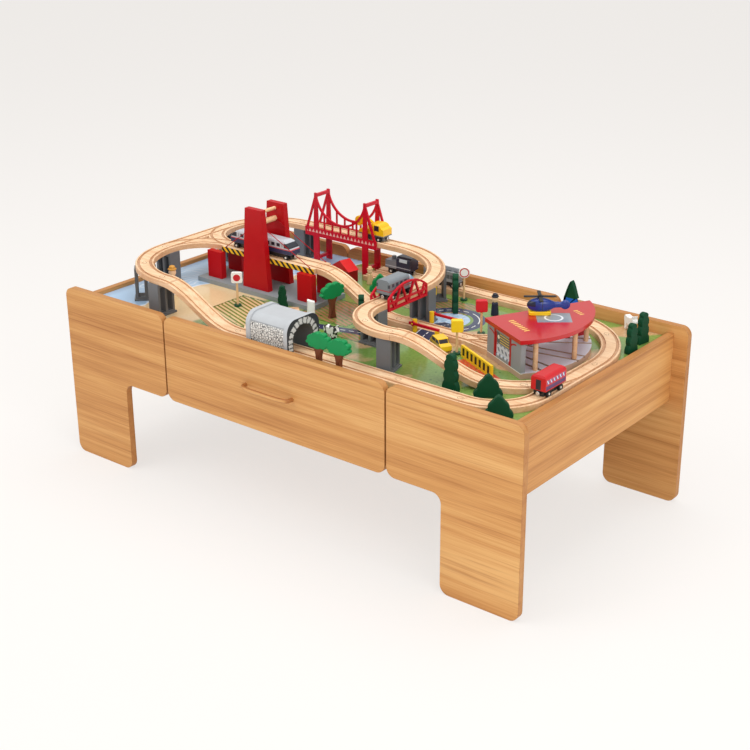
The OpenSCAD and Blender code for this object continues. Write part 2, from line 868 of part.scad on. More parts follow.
// Side of the suspension bridge: x along it, y up from the board
module suspension_side() {
    top = lift + track_t + suspension_h;
    beam_y = lift - beam_drop;
    beam_h = beam_drop + track_t + beam_lip;
    sag = suspension_h - sag_rise;
    cable_r = (tower_off * tower_off + sag * sag) / (2 * sag);
    cable_y = top - tower_cap - sag + cable_r;
    translate([-suspension_l / 2, beam_y])
        square([suspension_l, beam_h]);
    mirrored() {
        polygon([[tower_off - tower_foot / 2, 0], [tower_off + tower_foot / 2, 0],
                 [tower_off + tower_foot / 2, beam_y], [tower_off + tower_head / 2, top],
                 [tower_off - tower_head / 2, top], [tower_off - tower_foot / 2, beam_y]]);
        bar([tower_off, top - tower_cap],
            [suspension_l / 2 - cable_w, beam_y + beam_h - cable_w / 2], cable_w);
    }
    intersection() {
        difference() {
            translate([0, cable_y]) circle(cable_r + cable_w / 2);
            translate([0, cable_y]) circle(cable_r - cable_w / 2);
        }
        translate([-tower_off, beam_y])
            square([2 * tower_off, top - tower_cap - beam_y]);
    }
    for (i = [-hanger_count : hanger_count])
        bar([i * hanger_gap, beam_y + beam_drop],
            [i * hanger_gap, cable_y - sqrt(cable_r * cable_r - pow(i * hanger_gap, 2))], hanger_w);
}

module suspension_bridge() color("firebrick")
    translate([suspension_x, raised_y, play_z]) {
        for (s = [0, 1])
            mirror([0, s, 0])
                translate([0, track_w / 2 + side_play + side_t, 0])
                    rotate([90, 0, 0])
                        linear_extrude(side_t)
                            suspension_side();
        translate([-suspension_l / 2, -track_w / 2 - side_play - overrun, lift - beam_drop])
            cube([suspension_l, track_w + 2 * (side_play + overrun), beam_drop]);
        for (s = [-1, 1], z = [lift + track_t + suspension_h - tower_cap, strut_rise])
            translate([s * tower_off - tower_head / 2, -track_w / 2 - side_play - overrun,
                       z - tower_head / 2])
                cube([tower_head, track_w + 2 * (side_play + overrun), tower_head]);
    }

// Arched outline of a girder side, drawn in by a margin
module girder_outline(margin) {
    arch_r = (pow(girder_l / 2, 2) + pow(girder_h - girder_low, 2)) / (2 * (girder_h - girder_low));
    intersection() {
        translate([margin - girder_l / 2, lift - beam_drop + margin])
            square([girder_l - 2 * margin, beam_drop + track_t + girder_h - 2 * margin]);
        translate([0, lift + track_t + girder_h - arch_r])
            circle(arch_r - margin);
    }
}

module girder_side() {
    difference() {
        girder_outline(0);
        difference() {
            girder_outline(girder_web);
            for (i = [-3 : 2])
                bar([i * girder_l / 6, i % 2 == 0 ? lift - beam_drop : lift + track_t + girder_h],
                    [(i + 1) * girder_l / 6, i % 2 == 0 ? lift + track_t + girder_h : lift - beam_drop],
                    girder_web);
            translate([-girder_l / 2, lift + track_t - girder_web])
                square([girder_l, girder_web]);
        }
    }
}

module girder_bridge() color("firebrick")
    translate([girder_x, (girder_low_y + girder_high_y) / 2, play_z])
        rotate([0, 0, 90]) {
            for (s = [0, 1])
                mirror([0, s, 0])
                    translate([0, track_w / 2 + side_play + side_t, 0])
                        rotate([90, 0, 0])
                            linear_extrude(side_t)
                                girder_side();
            translate([-girder_l / 2, -track_w / 2 - side_play - overrun, lift - beam_drop])
                cube([girder_l, track_w + 2 * (side_play + overrun), beam_drop]);
        }

// Tunnel section drawn in by a margin, flat at the board
module tunnel_section(margin) {
    h = tunnel_h - margin;
    w = tunnel_w - 2 * margin;
    difference() {
        union() {
            translate([0, h / 2])
                round_rect(w, h, tunnel_round - margin);
            translate([-w / 2, 0])
                square([w, h / 2]);
        }
        translate([0, tunnel_rise])
            circle(tunnel_bore);
        translate([-tunnel_bore, -overrun])
            square([2 * tunnel_bore, tunnel_rise + overrun]);
    }
}

// Tunnel with a collar at each mouth
module tunnel() color("slategray")
    translate([tunnel_x - tunnel_l / 2, front_y + tunnel_shift, play_z])
        rotate([90, 0, 90]) {
            linear_extrude(tunnel_l)
                tunnel_section(collar_lip);
            for (z = [0, tunnel_l - collar_l])
                translate([0, 0, z])
                    linear_extrude(collar_l)
                        tunnel_section(0);
        }

module in_house() {
    translate([house_p.x, house_p.y, 0])
        rotate([0, 0, house_turn])
            children();
}

// Roundhouse plan drawn in by a margin: a disc cut off along two walls
module house_plan(margin) {
    intersection() {
        translate(house_c)
            circle(house_r - margin);
        translate([margin - house_front, margin])
            square([2 * house_r, 2 * house_r]);
    }
}

module roundhouse_floor() color("silver")
    difference() {
        in_house()
            translate([0, 0, play_z])
                linear_extrude(track_t)
                    house_plan(house_lip);
        for (turn = fan_turns)
            straight(fan_p, turn, 3 * house_r, track_z) track_grooves();
    }

// Wall with a sunk notice panel, corner post, front posts under a lintel, end wall
module roundhouse_walls() color("gainsboro")
    in_house()
        translate([0, 0, rail_top]) {
            difference() {
                translate([0, house_lip, 0])
                    cube([house_wall_l, house_wall, house_h]);
                translate([notice_set, house_lip - overrun, panel_rise])
                    cube([notice_l, overrun + panel_cut, house_h - 2 * panel_rise]);
            }
            for (p = [[-house_lip, house_lip], [house_wall_l - house_lip, house_lip],
                      [-house_lip, front_post_y], [-house_lip, end_post_y]])
                translate([p.x, p.y, 0])
                    cube([house_post, house_post, house_h]);
            translate([-house_lip, house_lip, house_h - lintel_h])
                cube([house_post, end_wall_y - house_lip + overrun, lintel_h]);
            translate([-house_lip, end_wall_y, 0])
                cube([house_wall, end_wall_l, house_h]);
        }

module roundhouse_columns() color("wheat")
    in_house()
        for (turn = column_turns)
            translate([house_c.x, house_c.y, rail_top] + (house_r - column_set) * [cos(turn), sin(turn), 0])
                cylinder(h = house_h, r = column_r);

module roundhouse_roof() color("firebrick")
    in_house()
        translate([0, 0, rail_top + house_h])
            linear_extrude(roof_t)
                house_plan(0);

// Barn with a pitched roof and a door recess
module barn() color("brown")
    translate([at(barn_share).x, at(barn_share).y, play_z])
        rotate([0, 0, barn_turn])
            difference() {
                rotate([90, 0, 0])
                    linear_extrude(barn_d, center = true) {
                        translate([-barn_w / 2, 0])
                            square([barn_w, barn_h]);
                        polygon([[-barn_w / 2 - barn_eave, barn_h], [barn_w / 2 + barn_eave, barn_h],
                                 [0, barn_h + barn_pitch]]);
                    }
                translate([-barn_door / 2, -barn_d / 2 - overrun, 0])
                    cube([barn_door, overrun + panel_cut, barn_h - barn_eave]);
            }

// Road ramps beside the track, hinge posts with pins, rest posts
module crossing_base() color("gold")
    for (s = [0, 1])
        translate([crossing_x, deck_y, play_z])
            mirror([0, s, 0]) {
                translate([-road_w / 2, 0, 0])
                    rotate([90, 0, 90])
                        linear_extrude(road_w)
                            polygon([[road_near, 0], [road_far, 0], [road_far, road_edge],
                                     [road_near, track_t]]);
                translate([-road_w / 2 - post_set, post_y, 0]) {
                    cylinder(h = post_h, r = post_r);
                    translate([0, 0, pin_z])
                        rotate([-90, 0, 0])
                            cylinder(h = post_r + bar_play + bar_t + pin_out, r = pin_r);
                }
                translate([road_w / 2 + post_set, bar_y, 0])
                    cylinder(h = pin_z - bar_h / 2 - bar_play, r = post_r);
            }

module barrier() {
    translate([crossing_x - road_w / 2 - post_set, deck_y + bar_y, play_z + pin_z])
        rotate([90, 0, 0])
            linear_extrude(bar_t, center = true)
                difference() {
                    union() {
                        translate([-bar_tail, -bar_h / 2])
                            square([bar_tail + road_w + 2 * post_set + post_r, bar_h]);
                        circle(bar_h);
                    }
                    circle(pin_r + pin_play);
                }
}

module barrier_rear() color("red") barrier();
module barrier_front() color("red")
    translate([0, 2 * deck_y, 0]) mirror([0, 1, 0]) barrier();

// Upright cut-out of a unit outline, scaled to a height
module cut_out(p, turn, h, t) {
    translate([p.x, p.y, play_z])
        rotate([90, 0, turn])
            linear_extrude(t, center = true)
                scale(h)
                    children();
}

module leafy_outline() {
    translate([-trunk_share / 2, 0])
        square([trunk_share, leafy_shares[0].y]);
    for (s = leafy_shares)
        translate([s.x, s.y])
            circle(s[2]);
}

module conifer_outline() {
    translate([-trunk_share / 2, 0])
        square([trunk_share, tier_shares[0].y + trunk_share]);
    for (s = tier_shares)
        polygon([[-s.x, s.y], [s.x, s.y], [0, s[2]]]);
}

module bush_outline() {
    for (s = bush_shares)
        intersection() {
            translate([s.x, s.y]) circle(s[2]);
            translate([-1, 0]) square([2, 1]);
        }
}

module trees() color("forestgreen") {
    for (i = [0 : len(leafy_shares_at) - 1])
        cut_out(at(leafy_shares_at[i]), leafy_shares_at[i][2], leafy_heights[i], cut_t)
            leafy_outline();
    for (i = [0 : len(conifer_shares_at) - 1])
        cut_out(at(conifer_shares_at[i]), conifer_shares_at[i][2], conifer_heights[i], cut_t)
            conifer_outline();
    for (i = [0 : len(bush_shares_at) - 1])
        cut_out(at(bush_shares_at[i]), bush_shares_at[i][2], bush_heights[i], cut_t)
            bush_outline();
}

// Plate or box on a round post with a foot
module sign(p, turn, h, t, round_plate) {
    translate([p.x, p.y, play_z])
        rotate([0, 0, turn]) {
            cylinder(h = sign_foot, r = sign_foot_r);
            cylinder(h = h - sign_plate / 2, r = sign_post_r);
            translate([0, 0, h - sign_plate / 2])
                rotate([90, 0, 0])
                    if (round_plate)
                        cylinder(h = t, r = sign_plate / 2, center = true);
                    else
                        linear_extrude(t, center = true)
                            round_rect(sign_plate, sign_plate, sign_foot);
        }
}

// Picket fence along the siding of the roundhouse
module fence() {
    translate([at(fence_share).x, at(fence_share).y, play_z])
        rotate([90, 0, house_turn])
            linear_extrude(fence_t, center = true) {
                for (y = [0, fence_h - fence_rail])
                    translate([-fence_l / 2, y])
                        square([fence_l, fence_rail]);
                for (i = [0 : fence_count - 1])
                    translate([-fence_l / 2 + i * (fence_l - fence_picket) / (fence_count - 1), 0])
                        square([fence_picket, fence_h]);
            }
}

module signs() color("white") {
    for (i = [0 : len(sign_shares) - 1])
        sign(at(sign_shares[i]), view_turn, sign_heights[i], i > 1 ? box_t : sign_t, i == 0);
    fence();
}

// Turned peg figure with a brimmed head
module peg(p, h) {
    translate([p.x, p.y, play_z])
        rotate_extrude()
            scale(h)
                polygon([for (s = peg_shares) [s.x, s.y]]);
}

module animal_outline() {
    for (s = animal_shares)
        translate([s[0], s[1]])
            square([s[2], s[3]]);
    translate([animal_head_share.x, animal_head_share.y])
        circle(animal_head_share[2]);
}

module figures() color("ivory") {
    for (i = [0 : len(peg_shares_at) - 1])
        peg(at(peg_shares_at[i]), peg_heights[i]);
    for (i = [0 : len(animal_shares_at) - 1])
        cut_out(at(animal_shares_at[i]), animal_shares_at[i][2], animal_heights[i], cut_t)
            animal_outline();
    milestone();
}

// Stone with a slanted top
module milestone() {
    cut_out(at(milestone_share), view_turn, milestone_h, cut_t)
        polygon([[-milestone_w_share / 2, 0], [milestone_w_share / 2, 0],
                 [milestone_w_share / 2, milestone_top_share], [-milestone_w_share / 2, 1]]);
}

module toy_car() color("gold")
    translate([at(car_share).x, at(car_share).y, play_z])
        rotate([0, 0, car_turn]) {
            translate([0, 0, car_wheel_r])
                rotate([90, 0, 0])
                    linear_extrude(car_w, center = true)
                        scale(car_l)
                            polygon(car_shares);
            for (x = [-car_l / 3, car_l / 3])
                translate([x, 0, car_wheel_r])
                    rotate([90, 0, 0])
                        cylinder(h = car_w + 2 * car_wheel_out, r = car_wheel_r, center = true);
        }

module at_pad() {
    translate([at(pad_share).x, at(pad_share).y, rail_top + house_h + roof_t])
        rotate([0, 0, pad_turn])
            children();
}

// Helicopter: turned body with a tail disc, mast and a float block
module helicopter_body() color("royalblue")
    at_pad() {
        translate([0, 0, cabin_z]) {
            rotate([0, 90, 0])
                rotate_extrude()
                    polygon([for (s = hull_shares) [s.y * cabin_r, s.x * tail_l]]);
            translate([tail_l - fin_r, 0, 0])
                rotate([90, 0, 0])
                    cylinder(h = fin_t, r = fin_r, center = true);
            cylinder(h = cabin_r + mast_h, r = mast_r);
        }
        linear_extrude(float_h)
            round_rect(float_l, float_w, float_round);
    }

module helicopter_rotor() color("black")
    at_pad()
        translate([0, 0, cabin_z + cabin_r + mast_h - rotor_drop])
            difference() {
                union() {
                    cylinder(h = rotor_hub_h, r = rotor_hub_r);
                    translate([-rotor_l / 2, -blade_w / 2, (rotor_hub_h - blade_t) / 2])
                        cube([rotor_l, blade_w, blade_t]);
                    translate([-blade_w / 2, -rotor_l / 2, (rotor_hub_h - blade_t) / 2])
                        cube([blade_w, rotor_l, blade_t]);
                }
                translate([0, 0, -overrun])
                    cylinder(h = rotor_hub_h + 2 * overrun, r = mast_r + pin_play);
            }

// Wheelset: two dished wheels on an axle, turning in a chassis bore
module wheelset() {
    translate([0, 0, axle_z])
        rotate([90, 0, 0]) {
            cylinder(h = gauge + wheel_t, r = axle_r, center = true);
            for (s = [0, 1])
                mirror([0, 0, s])
                    translate([0, 0, (gauge - wheel_t) / 2])
                        difference() {
                            rotate_extrude()
                                polygon([[0, 0], [wheel_r, 0], [wheel_r, wheel_t - tread_cut],
                                         [wheel_r - tread_cut, wheel_t], [0, wheel_t]]);
                            translate([0, 0, wheel_t - dish_d])
                                difference() {
                                    cylinder(h = dish_d + overrun, r = wheel_r - dish_rim);
                                    cylinder(h = dish_d + overrun, r = axle_r + dish_rim / 2);
                                }
                        }
        }
}

// Chassis between the wheels with a bore for each axle
module chassis(l, places) {
    difference() {
        translate([-l / 2, -chassis_w / 2, chassis_z])
            cube([l, chassis_w, body_z + overrun - chassis_z]);
        for (x = places)
            translate([x, 0, axle_z])
                rotate([90, 0, 0])
                    cylinder(h = body_w, r = axle_r + pin_play, center = true);
    }
}

// Body whose side outline is cut by a rounded cross-section
module coachwork(l, h) {
    translate([0, 0, body_z])
        intersection() {
            rotate([90, 0, 0])
                linear_extrude(body_w, center = true)
                    children();
            rotate([90, 0, 90])
                linear_extrude(2 * l, center = true)
                    round_rect(body_w, 2 * h, roof_r);
        }
}

module outline(l, h, shares) {
    polygon([for (s = shares) [s.x * l / 2, s.y * h]]);
}

module on_track(place) {
    translate([place[0].x, place[0].y, place[2]])
        rotate([0, 0, place[1]])
            children();
}

module express_body() color("silver")
    on_track(express_at) {
        for (s = [0, 1])
            mirror([s, 0, 0])
                translate([(engine_l + car_gap) / 2, 0, 0]) {
                    chassis(engine_l - 2 * chassis_in, [-axle_off, axle_off]);
                    coachwork(engine_l, body_h) outline(engine_l, body_h, nose_shares);
                }
        translate([-car_gap / 2 - chassis_in - overrun, -hook_w / 2, body_z - hook_h])
            cube([car_gap + 2 * (chassis_in + overrun), hook_w, hook_h]);
    }

module coach_body() color("crimson")
    on_track(coach_at) {
        chassis(wagon_l - 2 * chassis_in, [-wagon_axle, wagon_axle]);
        coachwork(wagon_l, body_h) outline(wagon_l, body_h, coach_shares);
    }

// Hopper with sloped ends and an open tray
module hopper_body() color("slategray")
    on_track(hopper_at) {
        chassis(wagon_l - 2 * chassis_in, [-wagon_axle, wagon_axle]);
        translate([0, 0, body_z])
            difference() {
                rotate([90, 0, 0])
                    linear_extrude(body_w, center = true)
                        outline(wagon_l, hopper_h, hopper_shares);
                translate([0, 0, hopper_floor])
                    rotate([90, 0, 0])
                        linear_extrude(body_w - 2 * hopper_wall, center = true)
                            outline(wagon_l - 2 * hopper_wall, hopper_h, hopper_shares);
            }
    }

module shunter_body() color("dimgray")
    on_track(shunter_at) {
        chassis(wagon_l - 2 * chassis_in, [-wagon_axle, wagon_axle]);
        coachwork(wagon_l, body_h) outline(wagon_l, body_h, shunter_shares);
        translate([chimney_share * wagon_l / 2, 0, body_z])
            cylinder(h = body_h - chimney_r, r = chimney_r);
    }

module streamliner_body() color("gray")
    on_track(streamliner_at) {
        chassis(engine_l - 2 * chassis_in, [-axle_off, axle_off]);
        coachwork(engine_l, body_h) outline(engine_l, body_h, nose_shares);
    }

// Engine with a rounded cab and a raised jib
module crane_body() color("gold")
    on_track(crane_at) {
        chassis(wagon_l - 2 * chassis_in, [-wagon_axle, wagon_axle]);
        coachwork(wagon_l, body_h) {
            outline(wagon_l, body_h, crane_shares);
            translate([cab_shares.x * wagon_l / 2, cab_shares.y * body_h])
                circle(cab_shares[2] * body_h);
        }
        translate([0, 0, body_z])
            rotate([90, 0, 0])
                linear_extrude(jib_t, center = true) {
                    bar([jib_shares[0].x * wagon_l / 2, jib_shares[0].y * body_h],
                        [jib_shares[1].x * wagon_l / 2, jib_shares[1].y * body_h], jib_w);
                    translate([jib_shares[1].x * wagon_l / 2, jib_shares[1].y * body_h])
                        circle(bucket_r);
                }
    }

module wheels_at(place, x) color("black")
    on_track(place)
        translate([x, 0, 0])
            wheelset();

module express_wheels_a() wheels_at(express_at, -(engine_l + car_gap) / 2 - axle_off);
module express_wheels_b() wheels_at(express_at, -(engine_l + car_gap) / 2 + axle_off);
module express_wheels_c() wheels_at(express_at, (engine_l + car_gap) / 2 - axle_off);
module express_wheels_d() wheels_at(express_at, (engine_l + car_gap) / 2 + axle_off);
module coach_wheels_a() wheels_at(coach_at, -wagon_axle);
module coach_wheels_b() wheels_at(coach_at, wagon_axle);
module hopper_wheels_a() wheels_at(hopper_at, -wagon_axle);
module hopper_wheels_b() wheels_at(hopper_at, wagon_axle);
module shunter_wheels_a() wheels_at(shunter_at, -wagon_axle);
module shunter_wheels_b() wheels_at(shunter_at, wagon_axle);
module streamliner_wheels_a() wheels_at(streamliner_at, -axle_off);
module streamliner_wheels_b() wheels_at(streamliner_at, axle_off);
module crane_wheels_a() wheels_at(crane_at, -wagon_axle);
module crane_wheels_b() wheels_at(crane_at, wagon_axle);

leg_front_left();
leg_front_right();
leg_rear_left();
leg_rear_right();
end_boards();
play_board();
cross_bearers();
support_rails();
front_drawer_face();
front_drawer_box();
front_drawer_handle();
rear_drawer_face();
rear_drawer_box();
rear_drawer_handle();
ground_track();
raised_track();
ramps();
track_piers();
cable_bridge_base();
cable_bridge_pillars();
cable_bridge_towers();
cable_bridge_deck();
bridge_cords();
suspension_bridge();
girder_bridge();
tunnel();
roundhouse_floor();
roundhouse_walls();
roundhouse_columns();
roundhouse_roof();
barn();
crossing_base();
barrier_front();
barrier_rear();
helicopter_body();
helicopter_rotor();
trees();
signs();
figures();
toy_car();
express_body();
express_wheels_a();
express_wheels_b();
express_wheels_c();
express_wheels_d();
coach_body();
coach_wheels_a();
coach_wheels_b();
hopper_body();
hopper_wheels_a();
hopper_wheels_b();
shunter_body();
shunter_wheels_a();
shunter_wheels_b();
streamliner_body();
streamliner_wheels_a();
streamliner_wheels_b();
crane_body();
crane_wheels_a();
crane_wheels_b();
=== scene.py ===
import math
import bpy
import numpy as np
from mathutils import Euler, Matrix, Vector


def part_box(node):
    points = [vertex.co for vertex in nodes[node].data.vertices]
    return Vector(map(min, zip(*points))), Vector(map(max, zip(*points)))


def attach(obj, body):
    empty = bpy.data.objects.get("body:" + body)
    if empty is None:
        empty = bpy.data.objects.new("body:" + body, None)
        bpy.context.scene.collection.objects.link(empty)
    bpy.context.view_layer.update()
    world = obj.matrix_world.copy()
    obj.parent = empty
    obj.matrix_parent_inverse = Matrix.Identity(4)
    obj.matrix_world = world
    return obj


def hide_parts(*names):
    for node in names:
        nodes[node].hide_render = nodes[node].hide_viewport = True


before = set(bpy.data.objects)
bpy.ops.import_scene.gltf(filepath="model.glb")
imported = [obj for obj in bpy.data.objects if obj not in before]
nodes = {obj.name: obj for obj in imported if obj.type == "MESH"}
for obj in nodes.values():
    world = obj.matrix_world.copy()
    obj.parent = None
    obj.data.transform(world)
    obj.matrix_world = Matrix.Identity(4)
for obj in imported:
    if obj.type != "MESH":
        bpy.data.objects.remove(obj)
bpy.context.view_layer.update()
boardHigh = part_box("play_board")[1]
playZ = boardHigh.z
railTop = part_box("ground_track")[1].z
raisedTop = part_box("raised_track")[1].z


def at(shareX, shareY):  # place on the board from shares of its half length and half width
    return shareX * boardHigh.x, shareY * boardHigh.y


def middle(node):  # centre of a node's box
    low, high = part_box(node)
    return (low + high) / 2


def rgb(r, g, b):  # screen colour to the linear values that the shader takes
    lin = [c / 255 / 12.92 if c <= 10 else ((c / 255 + 0.055) / 1.055) ** 2.4 for c in (r, g, b)]
    return (*lin, 1.0)


class Wire:  # a shader value that can stand in a Python sum
    def __init__(self, finish, socket):
        self.finish, self.socket = finish, socket

    def op(self, kind, other=0.0, clamp=False):
        return self.finish.node("ShaderNodeMath", {"operation": kind, "use_clamp": clamp}, [self, other])

    def __add__(self, other):
        return self.op("ADD", other)

    def __mul__(self, other):
        return self.op("MULTIPLY", other)

    def __sub__(self, other):
        return self.op("SUBTRACT", other)

    def __rsub__(self, other):
        return self.finish.node("ShaderNodeMath", {"operation": "SUBTRACT"}, [other, self])

    def __truediv__(self, other):
        return self.op("DIVIDE", other)

    __radd__ = __add__
    __rmul__ = __mul__

    def below(self, edge, soft=0.0004):  # 1 under the edge, 0 above it, over a soft step
        return ((edge - self) / soft + 0.5).op("ADD", 0.0, True)

    def above(self, edge, soft=0.0004):
        return ((self - edge) / soft + 0.5).op("ADD", 0.0, True)

    def within(self, low, high, soft=0.0004):
        return self.above(low, soft) * self.below(high, soft)

    def mag(self):
        return self.op("ABSOLUTE")

    def top(self, other):
        return self.op("MAXIMUM", other)

    def beat(self, pitch):  # saw-tooth from 0 to 1 over each pitch
        return (self / pitch).op("FRACT")

    def reach(self, other):  # distance from the point where both values are nought
        return (self * self + other * other).op("SQRT")


class Finish:  # one material with its nodes
    def __init__(self, name, **fixed):
        self.mat = bpy.data.materials.new(name)
        self.mat.use_nodes = True
        self.tree = self.mat.node_tree
        self.tree.nodes.clear()
        self.shader = self.tree.nodes.new("ShaderNodeBsdfPrincipled")
        out = self.tree.nodes.new("ShaderNodeOutputMaterial")
        self.tree.links.new(self.shader.outputs[0], out.inputs[0])
        for socket, value in fixed.items():
            self.shader.inputs[socket.replace("_", " ")].default_value = value

    def node(self, kind, settings=None, values=(), output=0):
        n = self.tree.nodes.new(kind)
        for key, value in (settings or {}).items():
            if key == "stops":
                for i, (pos, color) in enumerate(value):
                    stop = n.color_ramp.elements[i] if i < 2 else n.color_ramp.elements.new(pos)
                    stop.position, stop.color = pos, color
            else:
                setattr(n, key, value)
        pairs = values.items() if isinstance(values, dict) else enumerate(values)
        for key, value in pairs:
            self.plug(n.inputs[key], value)
        return Wire(self, n.outputs[output])

    def plug(self, socket, value):
        if isinstance(value, Wire):
            self.tree.links.new(value.socket, socket)
        else:
            socket.default_value = value

    def set(self, **values):
        for key, value in values.items():
            self.plug(self.shader.inputs[key.replace("_", " ")], value)
        return self

    def place(self):
        return self.node("ShaderNodeTexCoord", output=3)

    def xyz(self, vector=None):
        parts = self.node("ShaderNodeSeparateXYZ", None, [vector or self.place()]).socket.node
        return [Wire(self, socket) for socket in parts.outputs]

    def local(self, centre, turn):  # places along and across a turned piece, and the height
        x, y, z = self.xyz()
        c, s = math.cos(math.radians(turn)), math.sin(math.radians(turn))
        x, y = x - centre[0], y - centre[1]
        return x * c + y * s, y * c - x * s, z

    def facing(self):  # direction of the surface, as three values
        return self.xyz(self.node("ShaderNodeNewGeometry", output=1))

    def upward(self):  # 1 where the surface looks up
        return self.facing()[2].above(0.7, 0.2)

    def noise(self, size=1.0, detail=4.0, rough=0.55, bend=0.0, scale=(1, 1, 1), turn=(0.0, 0.0, 0.0)):
        spread = self.node("ShaderNodeMapping", None, {0: self.place(), 2: turn, 3: scale})
        return self.node("ShaderNodeTexNoise", None, {"Vector": spread, "Scale": size, "Detail": detail,
                                                      "Roughness": rough, "Distortion": bend})

    def cells(self, scale, feature, output=0):
        return self.node("ShaderNodeTexVoronoi", {"feature": feature},
                         {"Vector": self.place(), "Scale": scale}, output)

    def ramp(self, value, *stops):
        return self.node("ShaderNodeValToRGB", {"stops": stops}, [value])

    def mix(self, share, a, b):  # mix of two colours
        return self.node("ShaderNodeMix", {"data_type": "RGBA"}, {0: share, 6: a, 7: b}, 2)

    def between(self, share, a, b):  # mix of two values
        return self.node("ShaderNodeMix", {"data_type": "FLOAT"}, {0: share, 2: a, 3: b})

    def bump(self, height, strength, distance, normal=None):
        values = {"Strength": strength, "Distance": distance, "Height": height}
        if normal:
            values["Normal"] = normal
        return self.node("ShaderNodeBump", None, values)

    def soft(self, radius):  # normal that rounds the sharp edges of a solid
        return self.node("ShaderNodeBevel", {"samples": 4}, {"Radius": radius})


def dress(finish, *names):
    for name in names:
        data = nodes[name].data
        data.materials.clear()
        data.materials.append(finish.mat)


# each grain: waves a metre along and across the board, detail, roughness and bend
oakLook = {
    "dark": rgb(174, 116, 62), "mid": rgb(203, 147, 86), "pale": rgb(221, 172, 110),
    "edge": rgb(164, 106, 56), "streak": rgb(150, 90, 44), "lean": 0.05, "round": 0.0022,
    "bands": (0.7, 9.0, 3.0, 0.5), "streaks": (1.3, 52.0, 4.0, 0.6, 0.3),
    "lines": (2.2, 120.0, 3.0, 0.55, 0.2), "fibres": (7.0, 420.0, 4.0, 0.65), "shares": (0.42, 0.34, 0.24),
    "stops": (0.38, 0.5, 0.62), "lineShare": 0.5}


def oak(name, along, faceAxis, cut=0.6):
    # straight grain: broad bands, long streaks and fine fibres, each a noise drawn out along the board,
    # which leans a little; a cut edge is darker by its share
    w = oakLook
    f = Finish(name, Specular_IOR_Level=0.3)
    turn = [0.0, 0.0, 0.0]
    turn[faceAxis] = w["lean"]

    def drawn(long, wide, detail, rough, bend=0.0):
        return f.noise(1.0, detail, rough, bend, [long if i == along else wide for i in range(3)], turn)

    bands, streaks, lines, fibres = [drawn(*w[grain]) for grain in ("bands", "streaks", "lines", "fibres")]
    tone = bands * w["shares"][0] + streaks * w["shares"][1] + fibres * w["shares"][2]
    base = f.ramp(tone, *zip(w["stops"], (w["dark"], w["mid"], w["pale"])))
    dark = lines.above(0.6, 0.12) * streaks.below(0.52, 0.2)
    base = f.mix(dark * w["lineShare"], base, w["streak"])
    edge = f.facing()[faceAxis].mag().below(0.8, 0.3)
    base = f.mix(edge * cut, base, w["edge"])
    return f.set(Base_Color=base, Roughness=fibres * 0.16 + 0.4,
                 Normal=f.bump(fibres, 0.08, 0.0005, f.soft(w["round"])))


beechLook = {
    "dark": rgb(212, 166, 124), "mid": rgb(231, 194, 154), "pale": rgb(243, 215, 181),
    "side": rgb(196, 140, 98), "groove": rgb(160, 104, 66), "grooveDepth": 0.003, "floorHalf": 0.0005,
    "streaks": (9.0, 150.0, 150.0), "rays": (60.0, 420.0, 420.0), "bands": 16.0, "stops": (0.34, 0.5, 0.66),
    "rayShare": 0.25, "sideShare": 0.4, "grooveShadeShare": 0.5, "round": 0.0008}


def beech(name):
    # pale wood with fine short rays; the floors of the wheel grooves are darker, which is painted shade, and
    # a little browner
    w = beechLook
    f = Finish(name, Specular_IOR_Level=0.3)
    streaks = f.noise(detail=5.0, rough=0.6, scale=w["streaks"])
    bands = f.noise(w["bands"], 2.0)
    rays = f.noise(detail=2.0, scale=w["rays"]).above(0.63, 0.08)
    base = f.ramp(streaks * 0.55 + bands * 0.45, *zip(w["stops"], (w["dark"], w["mid"], w["pale"])))
    base = f.mix(rays * w["rayShare"], base, w["groove"])
    up = f.upward()
    base = f.mix((1 - up) * w["sideShare"], base, w["side"])
    z = f.xyz()[2]
    # painted shade on the groove floors, with a slightly browner tone of their own
    floor = 0.0
    for level in (railTop, raisedTop):
        low = level - w["grooveDepth"]
        floor = floor + z.within(low - w["floorHalf"], low + w["floorHalf"]) * up
    f.base = f.mix(floor * w["grooveShadeShare"], base, w["groove"])
    return f.set(Base_Color=f.base, Roughness=streaks * 0.15 + 0.44,
                 Normal=f.bump(streaks, 0.1, 0.0003, f.soft(w["round"])))


coatLook = {
    "mottle": 45.0, "peel": 900.0, "grain": 0.05, "depth": 0.0002, "round": 0.0008, "spread": 0.12,
    "clearRough": 0.15}


def coat(name, color, shade=0.84, rough=0.4, gloss=0.0, shine=0.4):
    # painted or moulded surface: slight mottling, fine orange peel, softened edges
    c = coatLook
    f = Finish(name, Coat_Weight=gloss, Coat_Roughness=c["clearRough"], Specular_IOR_Level=shine)
    mottle = f.noise(c["mottle"], 3.0)
    deep = tuple(part * shade for part in color[:3]) + (1.0,)
    f.base = f.mix(mottle, deep, color)
    return f.set(Base_Color=f.base, Roughness=(mottle - 0.5) * c["spread"] + rough,
                 Normal=f.bump(f.noise(c["peel"], 2.0), c["grain"], c["depth"], f.soft(c["round"])))


def printOn(f, *layers):  # lays masks of colour over a finish, the last on top
    for mask, color in layers:
        f.base = f.mix(mask, f.base, color)
    return f.set(Base_Color=f.base)


